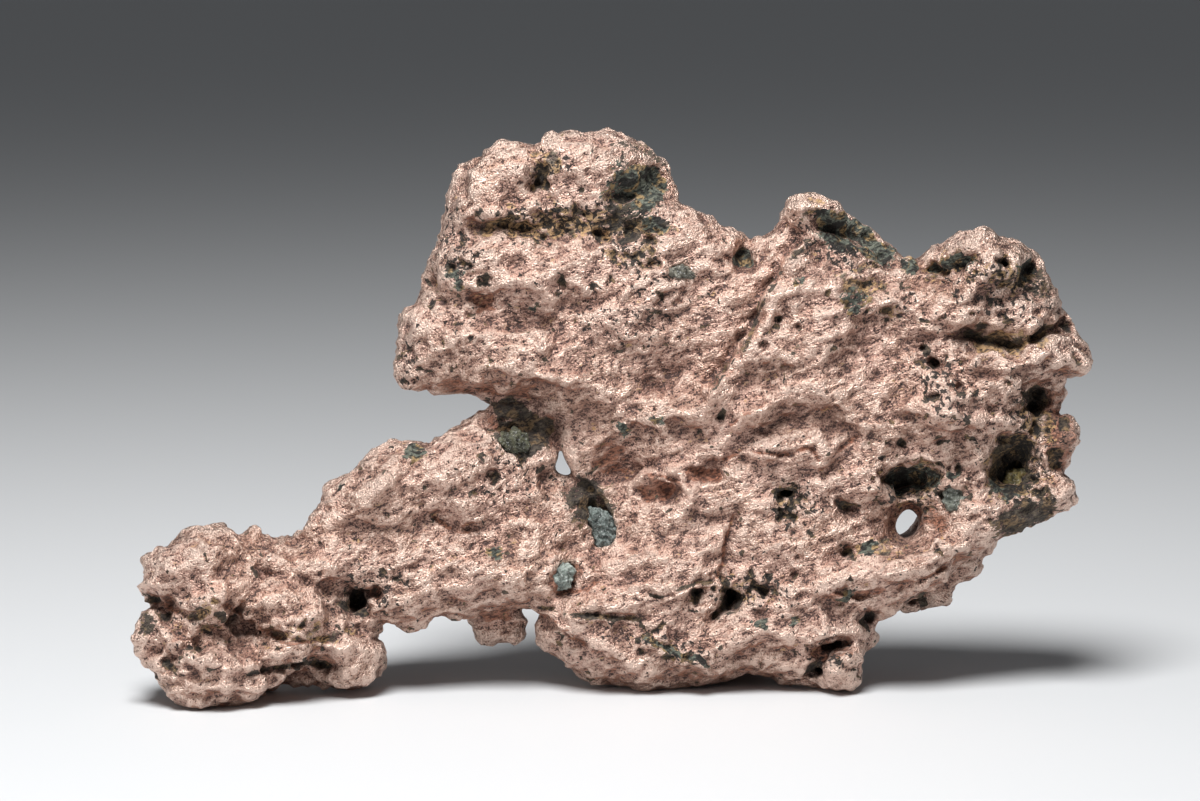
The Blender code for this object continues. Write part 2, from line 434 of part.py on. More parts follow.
def distance_to_line(face, points, closed=False):
    """How far each place on the face is from a line through the points."""
    ends = list(zip(points, points[1:] + points[:1] if closed else points[1:]))
    nearest = np.full(len(face), np.inf)
    for start, end in ends:
        start, along = np.array(start), np.array(end) - np.array(start)
        share = np.clip((face - start) @ along / (along @ along), 0.0, 1.0)
        away = face - start - share[:, None] * along
        nearest = np.minimum(nearest, np.hypot(away[:, 0], away[:, 1]))
    return nearest


def remeshed(obj, voxel):
    remesh = obj.modifiers.new("Remesh", "REMESH")
    remesh.mode = "VOXEL"
    remesh.voxel_size = voxel * MM
    return baked(obj)


def make_slab(name, loops, half, collection):
    """The first loop filled less the others, and half thick to either side of depth 0."""
    curve = bpy.data.curves.new(name, "CURVE")
    curve.dimensions = "2D"
    curve.fill_mode = "BOTH"
    curve.extrude = half * MM
    for loop in loops:
        spline = curve.splines.new("POLY")
        spline.points.add(len(loop) - 1)
        for point, (x, z) in zip(spline.points, loop):
            point.co = (x * MM, z * MM, 0.0, 1.0)
        spline.use_cyclic_u = True
    slab = bpy.data.objects.new(name, curve)
    collection.objects.link(slab)
    slab.rotation_euler = (math.radians(90.0), 0.0, 0.0)
    bpy.context.view_layer.update()
    slab = baked(slab)
    slab.data.transform(slab.matrix_world)
    slab.matrix_world = Matrix.Identity(4)
    return slab


def make_sheet(name, sheet, collection):
    """A sheet of copper: its outline as a slab whose rim is rounded and whose plane slopes."""
    loops = (sheet.edge, *sheet.holes)
    slab = remeshed(make_slab(name, loops, sheet.half, collection), SHEET_VOXEL)
    points = points_of(slab.data)
    face = points[:, [0, 2]]
    inset = np.min([distance_to_line(face, loop, True) for loop in loops], axis=0)
    fullness = np.sqrt(1.0 - (1.0 - np.clip(inset / sheet.rim, RIM_LEAST, 1.0)) ** 2)
    middle = sheet.depth + sheet.across * face[:, 0] + sheet.up * face[:, 1]
    points[:, 1] = middle + points[:, 1] * fullness
    set_points(slab.data, points)
    return slab


def make_lump(index, lump, collection):
    mesh = bpy.data.meshes.new(f"lump_{index}")
    ball = bmesh.new()
    bmesh.ops.create_icosphere(ball, subdivisions=4, radius=1.0)
    ball.to_mesh(mesh)
    ball.free()
    roll = Euler((0.0, math.radians(-lump.roll), 0.0)).to_matrix().to_4x4()
    place = Matrix.Translation(Vector(lump.middle) * MM)
    mesh.transform(place @ roll @ Matrix.Diagonal((*(size * MM for size in lump.half), 1.0)))
    obj = bpy.data.objects.new(mesh.name, mesh)
    collection.objects.link(obj)
    return obj


def joined(objects, name):
    """Every object's mesh in the first one, which takes the name."""
    whole = bmesh.new()
    for obj in objects:
        whole.from_mesh(obj.data)
    mesh = bpy.data.meshes.new(name)
    whole.to_mesh(mesh)
    whole.free()
    collection = objects[0].users_collection[0]
    for obj in objects:
        bpy.data.objects.remove(obj)
    made = bpy.data.objects.new(name, mesh)
    collection.objects.link(made)
    return made


def in_oval(face, spot):
    """The distance from an oval's middle, counted in its own half sizes."""
    turn = math.radians(spot.roll)
    away = face - np.array([spot.x, spot.z])
    across = away[:, 0] * math.cos(turn) + away[:, 1] * math.sin(turn)
    upward = away[:, 1] * math.cos(turn) - away[:, 0] * math.sin(turn)
    return np.hypot(across / spot.wide, upward / spot.high)


def ledge_height(face, ledge):
    """The height that a ledge adds: a step at its line, and a slow fall to the left of it."""
    nearest = np.full(len(face), np.inf)
    signed = np.zeros(len(face))
    past_end = np.zeros(len(face))
    for start, end in zip(ledge.points, ledge.points[1:]):
        start, along = np.array(start), np.array(end) - np.array(start)
        length = math.hypot(*along)
        way = (face - start) @ along / length
        away = face - start - np.clip(way, 0.0, length)[:, None] * along / length
        distance = np.hypot(away[:, 0], away[:, 1])
        closer = distance < nearest
        left = along[0] * away[:, 1] - along[1] * away[:, 0] >= 0.0
        signed[closer] = np.where(left, distance, -distance)[closer]
        past_end[closer] = np.maximum(np.maximum(-way, way - length), 0.0)[closer]
        nearest[closer] = distance[closer]
    step = smoothstep(-LEDGE_STEP, LEDGE_STEP, signed)
    fade = np.maximum(signed, 0.0) / ledge.fade + (past_end / LEDGE_END) ** 2
    return ledge.rise * step * np.exp(-fade)


def relief(face, swells, lines, ledges, pits):
    """How far each place on a face stands out."""
    height = np.zeros(len(face))
    for swell in swells:
        height += swell.rise * np.exp(-in_oval(face, swell) ** 2)
    for line in lines:
        height += line.rise * np.exp(-(distance_to_line(face, line.points) / line.wide) ** 2)
    for ledge in ledges:
        height += ledge_height(face, ledge)
    for pit in pits:
        height -= pit.deep * (1.0 - smoothstep(PIT_FLOOR, PIT_RIM, in_oval(face, pit)))
    return height


def scattered_back():
    """Relief of the back, placed by chance over the nugget's face."""
    chance = random.Random(BACK_SEED)

    def somewhere():
        return [chance.uniform(*reach) for reach in BACK_REACH]

    swells = []
    for _ in range(BACK_SWELLS):
        rise = chance.choice(BACK_RISES)
        sizes = [chance.uniform(*span) for span in (SWELL_WIDE, SWELL_HIGH, SWELL_ROLL)]
        swells.append(Swell(*somewhere(), *sizes, rise))
    ledges = []
    for _ in range(BACK_LEDGES):
        x, z = somewhere()
        heading = chance.uniform(-LEDGE_HEADING, LEDGE_HEADING) + chance.choice((0.0, math.pi))
        points = [(x, z)]
        for _ in range(LEDGE_STRIDES):
            heading += chance.uniform(-LEDGE_BEND, LEDGE_BEND)
            x += LEDGE_STRIDE * math.cos(heading)
            z += LEDGE_STRIDE * math.sin(heading)
            points.append((x, z))
        ledges.append(Ledge(points, chance.uniform(*LEDGE_RISE), chance.uniform(*LEDGE_FADE)))
    pits = []
    for _ in range(BACK_PITS):
        size = chance.uniform(*PIT_SIZE)
        flatness = chance.uniform(*PIT_FLATNESS)
        roll = chance.uniform(0.0, 180.0)
        pits.append(Pit(*somewhere(), size, size * flatness, roll, chance.uniform(*PIT_DEEP)))
    return swells, ledges, pits


def rough(points, scale, seed):
    """Fractal noise at each point, from about -1 to 1, with lumps of about the given size."""
    away = Vector((seed * 17.3, seed * 5.1, seed * 9.7))
    return np.array([
        noise.fractal(Vector(point) / scale + away, 1.0, 2.0, 3) for point in points
    ])


def ragged(face, points):
    """The places on the face, pushed about by noise."""
    for amount, scale in RAGGED:
        push = np.array([noise.noise_vector(Vector(point) / scale) for point in points])
        face = face + amount * push[:, [0, 2]]
    return face


def crumple(points, scale, seed):
    """Noise that runs in sharp crests and round hollows, as in crumpled foil; 0 on average."""
    away = Vector((seed * 3.7, seed * 11.9, seed * 7.3))
    crests = np.array([
        1.0 - 2.0 * abs(noise.noise(Vector(point) / scale + away)) for point in points
    ])
    return crests - crests.mean()


def carve(nugget):
    """Presses the relief into the face and the back, and roughens the whole skin."""
    points, normals = points_of(nugget.data), normals_of(nugget.data)
    face = ragged(points[:, [0, 2]], points)
    toward = smoothstep(0.0, FACING, -normals[:, 1])
    away = smoothstep(0.0, FACING, normals[:, 1])
    back_swells, back_ledges, back_pits = scattered_back()
    points[:, 1] -= toward * relief(face, SWELLS, LINES, LEDGES, PITS)
    points[:, 1] += away * relief(face, back_swells, [], back_ledges, back_pits)
    along_folds = points @ FOLD_GRAIN
    skin = np.zeros(len(points))
    for seed, ((amount, scale), lumpy, place) in enumerate((
        (ROUGHNESS, rough, points), (WIDE_CRUMPLE, crumple, along_folds),
        (FINE_CRUMPLE, crumple, along_folds),
    ), start=1):
        skin += amount * lumpy(place, scale, seed)
    amount, scale = KNOB_CRUMPLE
    skin += amount * smoothstep(KNOB_FROM, KNOB_TO, points[:, 0]) * crumple(points, scale, 4)
    points += normals * skin[:, None]
    set_points(nugget.data, points)


def without_islands(obj):
    """Leaves only the largest connected surface: the smaller ones close hidden gaps between sheets."""
    whole = bmesh.new()
    whole.from_mesh(obj.data)
    unseen = set(whole.verts)
    islands = []
    while unseen:
        island = set()
        edge_of_search = [unseen.pop()]
        while edge_of_search:
            vert = edge_of_search.pop()
            island.add(vert)
            for edge in vert.link_edges:
                other = edge.other_vert(vert)
                if other in unseen:
                    unseen.remove(other)
                    edge_of_search.append(other)
        islands.append(island)
    islands.sort(key=len)
    for island in islands[:-1]:
        bmesh.ops.delete(whole, geom=list(island), context="VERTS")
    whole.to_mesh(obj.data)
    whole.free()
    return obj


def decimated(nugget):
    nugget.data.calc_loop_triangles()
    fewer = nugget.modifiers.new("Decimate", "DECIMATE")
    fewer.ratio = FACES / len(nugget.data.loop_triangles)
    fewer.use_collapse_triangulate = True
    return baked(nugget)


def lowered(mesh):
    """Lets each point fall with its depth, so that the feet come to stand on one plane."""
    points = points_of(mesh)
    points[:, 2] -= FALL * (points[:, 1] - STANCE_DEPTH)
    set_points(mesh, points)


def skin_depths(nugget):
    """How deep the face of the nugget lies at the place of each remnant."""
    tree = BVHTree.FromObject(nugget, bpy.context.evaluated_depsgraph_get())
    toward_back = Vector((0.0, 1.0, 0.0))
    return {
        name: AHEAD + tree.ray_cast(Vector((rock.x, AHEAD, rock.z)) * MM, toward_back)[3] / MM
        for name, rock in ROCKS.items()
    }


def make_rock(name, rock, depth, collection, grown=0.0):
    """A rough crystal: the hull of corners thrown on an oval. grown adds to every half size."""
    chance = random.Random(rock.seed)
    hull = bmesh.new()
    for _ in range(ROCK_CORNERS):
        corner = Vector([chance.gauss(0.0, 1.0) for _ in range(3)]).normalized()
        hull.verts.new(corner)
    made = bmesh.ops.convex_hull(hull, input=hull.verts)
    bmesh.ops.delete(hull, geom=made["geom_interior"], context="VERTS")
    mesh = bpy.data.meshes.new(name)
    hull.to_mesh(mesh)
    hull.free()
    z = rock.z - FALL * (depth - STANCE_DEPTH)
    place = Matrix.Translation(Vector((rock.x, depth, z)) * MM)
    turn = Euler([math.radians(angle) for angle in rock.turn]).to_matrix().to_4x4()
    size = Matrix.Diagonal((*((half + grown) * MM for half in rock.half), 1.0))
    mesh.transform(place @ turn @ size)
    obj = bpy.data.objects.new(name, mesh)
    collection.objects.link(obj)
    return obj


def make_ground_cutter(collection):
    """A block under the nugget: what it cuts off leaves the worn flats of the feet."""
    mesh = bpy.data.meshes.new("ground_cutter")
    block = bmesh.new()
    bmesh.ops.create_cube(block, size=1.0)
    block.to_mesh(mesh)
    block.free()
    size = Vector(GROUND_BLOCK) * MM
    mesh.transform(Matrix.Translation((0.0, 0.0, -0.5 * size.z)) @ Matrix.Diagonal((*size, 1.0)))
    obj = bpy.data.objects.new("ground_cutter", mesh)
    collection.objects.link(obj)
    return obj


def make_opening(name, outline, collection):
    """A prism that goes clear through the nugget."""
    prism = make_slab(name, [outline], OPENING_HALF, collection)
    solid = bmesh.new()
    solid.from_mesh(prism.data)
    bmesh.ops.remove_doubles(solid, verts=solid.verts, dist=MERGE)
    bmesh.ops.recalc_face_normals(solid, faces=solid.faces)
    solid.to_mesh(prism.data)
    solid.free()
    lowered(prism.data)
    return prism


def cut(obj, cutter):
    cutter.hide_render = True
    cutter.display_type = "WIRE"
    boolean = obj.modifiers.new(f"Cut {cutter.name}", "BOOLEAN")
    boolean.operation = "DIFFERENCE"
    boolean.object = cutter


def make_nugget(parts):
    pieces = [make_sheet(name, sheet, parts) for name, sheet in SHEETS.items()]
    pieces += [make_lump(index, lump, parts) for index, lump in enumerate(LUMPS)]
    nugget = without_islands(remeshed(joined(pieces, "copper_nugget"), LUMP_VOXEL))
    carve(nugget)
    nugget = without_islands(remeshed(nugget, LUMP_VOXEL))
    return decimated(nugget)


def main():
    for obj in list(bpy.data.objects):
        bpy.data.objects.remove(obj)
    noise.seed_set(NOISE_SEED)
    parts = bpy.data.collections.new("native copper nugget")
    cutters = bpy.data.collections.new("cutters")
    for collection in (parts, cutters):
        bpy.context.scene.collection.children.link(collection)
    copper = material("copper", *COPPER)
    host_rock = material("host_rock", *HOST_ROCK)
    nugget = make_nugget(parts)
    depths = skin_depths(nugget)
    lowered(nugget.data)
    cut(nugget, make_ground_cutter(cutters))
    cut(nugget, make_opening("window_cutter", WINDOW, cutters))
    cut(nugget, make_opening("slit_cutter", SLIT, cutters))
    for name, rock in ROCKS.items():
        depth = depths[name] + rock.sunk
        obj = make_rock(name, rock, depth, parts)
        obj.data.materials.append(host_rock)
        cut(nugget, make_rock(f"{name}_pocket", rock, depth, cutters, POCKET_GAP))
    nugget = baked(nugget)
    nugget.data.materials.clear()
    nugget.data.materials.append(copper)
    nugget.data.shade_smooth()
    nugget.data.set_sharp_from_angle(angle=SHARP_EDGE)
    points = points_of(nugget.data)
    middle = 0.5 * (points.min(axis=0) + points.max(axis=0))
    frame = bpy.data.objects.new("nugget_frame", None)
    parts.objects.link(frame)
    for obj in list(parts.objects):
        if obj is not frame:
            obj.parent = frame
    frame.location = (-middle[0] * MM, -middle[1] * MM, 0.0)


main()
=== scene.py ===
"""Native copper nugget: an add-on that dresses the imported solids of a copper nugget.

It carves the fine relief of the copper, gives the copper and the remnants of host rock their
procedural materials, and sets them on a plain stage. The panel is in the 3D view's sidebar, on
the tab named Nugget. Run as a script, it builds everything once.
"""

import math
import random
from collections import namedtuple

import bmesh
import bpy
import numpy as np
from bpy.props import FloatProperty, FloatVectorProperty, IntProperty, PointerProperty
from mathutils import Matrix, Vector, noise
from mathutils.bvhtree import BVHTree


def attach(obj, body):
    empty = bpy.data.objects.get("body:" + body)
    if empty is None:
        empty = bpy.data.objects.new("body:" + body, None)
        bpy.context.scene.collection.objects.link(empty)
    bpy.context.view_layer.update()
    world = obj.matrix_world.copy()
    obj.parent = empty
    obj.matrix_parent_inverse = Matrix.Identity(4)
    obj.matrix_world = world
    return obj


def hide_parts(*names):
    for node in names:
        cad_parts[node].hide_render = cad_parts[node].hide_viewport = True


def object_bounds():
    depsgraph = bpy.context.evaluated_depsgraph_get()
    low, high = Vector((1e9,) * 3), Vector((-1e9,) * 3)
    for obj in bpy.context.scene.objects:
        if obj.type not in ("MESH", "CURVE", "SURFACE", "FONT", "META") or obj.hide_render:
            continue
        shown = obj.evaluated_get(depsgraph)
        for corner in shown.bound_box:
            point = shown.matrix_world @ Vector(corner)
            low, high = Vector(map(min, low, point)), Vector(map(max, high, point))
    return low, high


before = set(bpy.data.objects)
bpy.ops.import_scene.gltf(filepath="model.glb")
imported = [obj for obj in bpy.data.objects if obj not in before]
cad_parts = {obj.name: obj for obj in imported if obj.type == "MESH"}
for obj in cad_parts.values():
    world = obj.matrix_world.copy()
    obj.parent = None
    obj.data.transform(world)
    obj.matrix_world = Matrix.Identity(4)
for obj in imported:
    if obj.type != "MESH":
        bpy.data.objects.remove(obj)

SOLID_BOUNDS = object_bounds()

bl_info = {
    "name": "Native Copper Nugget",
    "version": (1, 0, 0),
    "blender": (4, 5, 0),
    "location": "3D View > Sidebar > Nugget",
    "description": "Dresses the solids of a native copper nugget and sets its stage",
    "category": "Object",
}

MM = 0.001

# The show face is drawn in millimetres: across from the middle of the length, and up from the
# lowest foot. What lies deeper stands lower by this fall, measured from the foremost foot. The
# shifts lead from the frame's own axes to those of the drawing.
FALL = math.tan(math.radians(8.0))
FOREMOST_FOOT = -5.6
SHIFT_X = -0.098
SHIFT_Y = 3.387

# The folds of the copper: how steeply they climb to the right, how far the grains of the material
# are drawn out along them, into the depth and across them, and how far its dents are pushed about,
# in sizes of a dent.
GRAIN = math.radians(20.0)
FOLD_SCALE = (1.8, 1.2, 0.88)
DENT_WARP = 0.5

# What lines the hollows and stains the copper. The rust also carries the painted shade of the undersides.
KINDS = ("dark", "green", "ochre", "rust")

# Pits and pockets of the show face: middle, half sizes, roll, depth, and the kind of their lining.
Spot = namedtuple("Spot", "x z wide high roll deep kind", defaults=(0, 1.0, "dark"))
PITS = [Spot(*row) for row in (
    # The lower middle.
    (11.65, 10.5, 1.5, 1.45, 0, 1.6), (11.2, 12.3, 0.5, 0.4), (13.65, 13.1, 0.5, 0.4),
    (13.75, 12.1, 0.65, 0.35), (14.85, 11.5, 0.4, 0.6), (15.95, 11.6, 0.5, 0.5),
    (15.25, 12.7, 0.35, 0.3), (18.15, 13.4, 0.7, 0.3, 35), (7.75, 11.2, 0.7, 0.9),
    (9.85, 9.2, 0.45, 0.75), (22.45, 10.2, 0.3, 0.3), (25.25, 8.9, 1.05, 0.95, 0, 1.6),
    (17.0, 21.9, 1.6, 0.45, 8, 1.4), (16.2, 21.2, 0.6, 0.7, 0, 1.2), (18.3, 21.1, 0.5, 0.5),
    (17.0, 19.6, 1.1, 0.4, -15, 1.4), (16.3, 18.9, 0.5, 0.5), (23.45, 20.3, 1.35, 0.55, 8, 1.3),
    (23.55, 15.2, 0.85, 0.5, 10, 1.2), (10.65, 29.6, 0.55, 0.55),
    (8.85, 23.5, 2.0, 0.9, 6, 0.7, "rust"), (4.45, 22.0, 2.0, 1.1, 0, 0.9, "rust"),
    (5.5, 4.9, 0.8, 0.4, 20), (12.7, 15.6, 0.3, 0.3),
    # The upper lobe.
    (-5.25, 42.8, 0.5, 0.6), (-5.95, 41.8, 0.35, 0.3), (-15.85, 44.0, 0.35, 0.45),
    (-12.65, 42.8, 0.35, 0.35), (4.45, 40.9, 0.4, 0.4), (-15.75, 34.5, 0.3, 0.3),
    (-17.55, 34.3, 0.3, 0.3), (-10.55, 48.4, 2.0, 0.7, 0, 0.8, "ochre"),
    (-13.3, 41.0, 1.75, 0.8, 0, 0.5, "rust"), (3.05, 52.4, 2.5, 2.2, 0, 0.9, "green"),
    (1.4, 47.6, 0.9, 0.7, 0, 1.0), (-1.6, 47.6, 0.7, 0.5, 0, 1.0), (-7.6, 53.4, 0.7, 1.3, 15, 1.0),
    (3.0, 46.5, 0.8, 0.5, 0, 0.8), (12.4, 45.2, 1.2, 0.9, 0, 0.8, "green"),
    # The upper middle.
    (16.15, 39.6, 0.4, 0.6), (15.5, 38.4, 0.5, 0.4), (18.15, 38.2, 0.5, 0.4), (26.65, 39.7, 0.6, 0.4),
    (26.05, 44.2, 0.3, 0.3), (22.6, 48.3, 3.6, 1.3, -14, 1.0, "green"),
    (26.4, 46.3, 1.8, 0.8, -28, 1.0, "green"), (23.4, 42.3, 1.6, 0.8, 10, 0.6, "ochre"),
    # The right side.
    (30.95, 35.4, 0.4, 0.65, 20), (31.65, 33.8, 0.6, 0.7), (33.55, 32.6, 0.4, 0.5),
    (34.15, 31.6, 0.35, 0.4), (31.15, 31.2, 0.65, 0.4, -20), (38.25, 32.3, 0.4, 0.3),
    (38.35, 44.8, 0.5, 0.5), (36.45, 38.4, 0.9, 0.5), (28.85, 26.7, 0.5, 0.5), (32.45, 26.8, 0.4, 0.3),
    (34.75, 28.7, 0.4, 0.5), (34.75, 26.7, 0.7, 0.4), (34.15, 24.3, 0.5, 0.5), (32.05, 24.5, 0.6, 0.3),
    (33.45, 44.6, 2.4, 0.8, 4, 1.4, "green"), (40.65, 43.8, 1.3, 1.2, 0, 1.0, "green"),
    (45.15, 38.3, 0.9, 0.7, -30, 1.0), (46.35, 35.5, 0.9, 0.3), (29.7, 23.0, 2.7, 1.4, 4, 1.6, "green"),
    (42.35, 31.2, 1.6, 1.4, 20, 1.4), (39.7, 24.4, 2.5, 2.8, 20, 1.4), (30.6, 10.4, 1.35, 0.6, 12, 1.2),
    (43.9, 24.8, 0.7, 1.3, 0, 1.1), (44.9, 28.4, 0.5, 1.0, 10, 0.9), (42.2, 21.8, 1.0, 0.5, 15, 1.0),
    # The foot.
    (21.65, 5.5, 1.9, 1.0, 16, 1.2, "rust"), (20.15, 3.6, 0.9, 0.9, 0, 1.6),
    # The arm.
    (-16.05, 21.9, 0.5, 0.3, 25), (-12.55, 23.2, 0.65, 0.5, 15), (-12.85, 28.0, 0.5, 0.35),
    (-2.6, 19.9, 0.65, 0.9), (-5.05, 12.8, 1.6, 1.5, 0, 0.5, "rust"), (-4.25, 5.0, 0.3, 0.4),
    (-5.95, 6.6, 0.4, 0.3), (-24.45, 11.7, 1.4, 0.8, 10, 1.0, "rust"),
    (-26.35, 10.1, 1.5, 0.9, -20, 1.0), (-9.6, 27.6, 3.4, 2.4, 0, 0.5, "dark"),
    # The knob.
    (-39.55, 12.2, 0.3, 0.3), (-43.85, 4.4, 0.8, 0.5, -25), (-41.55, 6.0, 0.6, 0.4, -20),
    (-44.45, 9.1, 0.8, 0.6), (-38.55, 9.1, 0.7, 0.5, 10), (-45.75, 10.9, 0.7, 0.5),
    (-30.45, 8.5, 0.4, 0.3), (-35.95, 13.8, 0.6, 0.4), (-30.45, 4.2, 1.8, 0.45, -4, 1.6),
)]

# Cracks: points, half width and depth, what lines them, and which side stands up as a lip: 1 for
# the left of the way along the points, -1 for the right, 0 for neither. One of negative depth is
# a seam that its crust fills.
Crack = namedtuple("Crack", "points wide deep kind lip", defaults=("rust", -1))
CRACKS = [
    Crack([(17.8, 45.8), (16.3, 43.5), (15.3, 42.1), (14.1, 40.1), (13.7, 38.0), (12.5, 35.9),
           (10.9, 33.9), (9.5, 31.8)], 0.42, 1.5, "dark", 1),
    Crack([(11.8, 19.3), (11.2, 16.8), (10.8, 14.9), (10.1, 13.1)], 0.24, 0.7),
    Crack([(3.4, 11.3), (4.1, 11.0), (5.5, 11.2), (7.5, 12.1), (9.7, 12.6)], 0.3, 0.8, "dark"),
    Crack([(-7.5, 9.8), (-5.0, 9.2), (-2.5, 8.9), (-0.5, 8.7), (1.0, 8.8),
           (2.5, 8.5)], 0.36, 1.3, "dark"),
    Crack([(-11.1, 10.4), (-8.5, 9.4), (-7.0, 9.1), (-5.5, 7.9), (-3.5, 6.6),
           (-2.3, 5.4)], 0.35, 0.8, "rust", 1),
    Crack([(2.8, 6.6), (4.0, 5.8), (5.3, 5.4), (6.5, 4.8), (8.0, 4.8), (9.0, 3.8)], 0.4, 1.0, "green"),
    Crack([(10.7, 24.8), (12.6, 25.7), (15.2, 25.3), (17.1, 25.3), (18.2, 26.0), (19.4, 25.9),
           (20.1, 24.9)], 0.25, 0.9),
    Crack([(20.1, 23.6), (21.5, 24.9), (23.0, 26.2), (24.0, 27.1)], 0.25, 0.8),
    Crack([(10.6, 27.6), (12.5, 28.9), (14.8, 30.2)], 0.25, 0.9),
    Crack([(3.2, 23.3), (5.1, 23.3), (7.0, 22.4)], 0.3, 0.8),
    Crack([(-18.5, 19.0), (-17.0, 18.0), (-15.7, 17.6), (-14.4, 17.6)], 0.28, 0.8),
    Crack([(21.3, 11.2), (24.0, 10.8), (27.0, 11.5), (30.0, 12.5), (33.0, 13.8)], 0.35, 1.0),
    Crack([(34.7, 37.3), (37.0, 36.6), (39.5, 36.4), (43.4, 38.1)], 0.8, 1.0, "dark"),
    Crack([(-38.7, 10.6), (-36.4, 8.8), (-34.4, 7.5), (-32.2, 6.5), (-28.5, 6.5)], 0.4, 1.1),
    Crack([(-36.0, 3.4), (-33.5, 4.0), (-31.0, 4.1), (-28.8, 3.9)], 0.4, 1.0, "dark"),
    Crack([(-46.3, 10.4), (-45.0, 10.4), (-43.8, 9.6)], 0.35, 0.9),
    Crack([(-19.0, 42.8), (-17.6, 41.6), (-16.4, 40.8)], 0.3, 0.8, "dark"),
    Crack([(-10.7, 32.7), (-8.9, 33.5)], 0.25, 0.6),
    Crack([(-4.5, 11.2), (-3.1, 11.7), (-1.8, 12.6)], 0.25, 0.6),
    Crack([(-4.0, 23.4), (-2.6, 22.7), (-1.6, 21.7), (-1.0, 20.4), (-0.6, 19.4)], 0.35, 0.7, "dark", 1),
    Crack([(-13.0, 48.1), (-10.5, 48.4), (-7.5, 47.8), (-4.5, 48.6), (0.5, 49.0),
           (3.5, 48.2)], 0.7, -0.6, "ochre", 0),
]

# Stains that lie flush with the copper, by kind: middle, half sizes, roll and strength.
STAINS = [Spot(*row, kind) for kind, rows in {
    "green": (
        (25.5, 15.6, 1.1, 0.85, 10, 1.0), (-12.2, 15.4, 1.05, 0.7, 10, 1.0),
        (-8.35, 40.3, 0.45, 0.6, 0, 1.0), (17.65, 42.7, 0.8, 0.7, 0, 0.8),
        (23.5, 40.8, 2.1, 1.8, 0, 0.62), (29.1, 44.2, 1.5, 0.9, -20, 0.9),
        (22.85, 11.3, 1.6, 0.5, 8, 1.0), (14.5, 8.2, 0.75, 0.6, 0, 0.9),
        (17.5, 8.5, 0.75, 0.35, 0, 0.9), (0.95, 28.0, 0.5, 1.0, 20, 0.9), (4.2, 28.7, 1.1, 0.6, 0, 0.7),
        (-19.7, 25.4, 1.3, 0.6, 15, 0.9), (-27.1, 22.2, 0.5, 0.4, 0, 0.9),
        (3.85, 48.4, 1.1, 0.9, 0, 1.0), (39.5, 22.2, 1.8, 1.4, 0, 1.0), (33.6, 23.6, 1.0, 0.8, 0, 0.9),
        (-15.3, 43.0, 1.2, 1.6, 20, 0.6), (24.6, 46.2, 3.8, 1.4, -24, 0.8),
        (1.6, 51.6, 3.8, 3.6, 30, 0.64), (23.4, 47.0, 5.0, 2.2, -22, 0.7),
    ),
    "ochre": (
        (-4.1, 48.6, 9.4, 2.0, 2, 0.72), (-7.0, 53.9, 1.8, 2.2, 0, 0.95),
        (2.0, 45.4, 3.6, 1.4, 0, 0.66), (24.0, 42.4, 3.0, 1.9, 0, 0.62), (39.0, 36.6, 5.2, 1.6, 5, 0.8),
        (42.2, 28.8, 1.9, 2.8, 0, 0.85), (12.6, 11.2, 3.6, 2.2, 0, 0.62),
        (16.9, 20.4, 2.4, 2.0, 0, 0.66), (29.6, 22.6, 3.6, 2.4, 0, 0.66),
        (39.5, 24.4, 3.4, 3.6, 0, 0.72), (38.8, 43.6, 3.8, 1.8, 0, 0.6),
        (33.4, 44.4, 3.0, 1.6, 0, 0.66), (5.6, 5.6, 3.4, 1.2, -15, 0.66),
        (-30.0, 7.4, 4.6, 1.4, 0, 0.5), (-40.5, 9.6, 3.0, 1.8, 0, 0.48),
        (26.4, 39.8, 1.6, 0.9, 0, 0.66), (20.2, 50.4, 3.0, 1.4, 0, 0.66),
        (26.0, 15.6, 2.8, 1.4, 0, 0.6),
    ),
    "rust": (
        (-14.8, 32.4, 6.6, 0.9, 0, 0.9), (31.6, 18.9, 3.0, 1.7, 0, 0.8), (22.0, 5.4, 2.2, 1.5, 0, 0.9),
        (44.2, 27.6, 2.4, 5.4, 0, 0.95), (-11.6, 28.4, 3.0, 1.4, -20, 0.7),
        (-12.2, 8.8, 2.6, 0.8, 0, 1.0), (-1.0, 25.4, 2.4, 3.6, 40, 0.6),
    ),
    "dark": (
        (41.2, 19.0, 4.8, 2.5, 22, 0.86), (-10.6, 30.2, 3.0, 0.8, -12, 1.0),
        (2.6, 56.2, 3.2, 1.2, 0, 0.6), (-2.8, 20.4, 2.6, 3.4, 30, 0.85), (0.4, 49.4, 2.2, 1.8, 0, 0.75),
        (41.8, 42.8, 1.8, 2.2, 0, 0.7), (-46.6, 9.0, 1.0, 3.0, 0, 0.7),
    ),
}.items() for row in rows]

# The openings right through the copper: a line down the middle of each, how far the copper round it
# stays even, and how much it swells there.
Opening = namedtuple("Opening", "points reach swell")
OPENINGS = [
    Opening([(29.2, 18.5), (29.3, 17.9)], 1.9, -0.05),
    Opening([(-6.2, 29.0), (-5.3, 25.6), (-5.0, 23.6)], 1.5, 0.3),
]

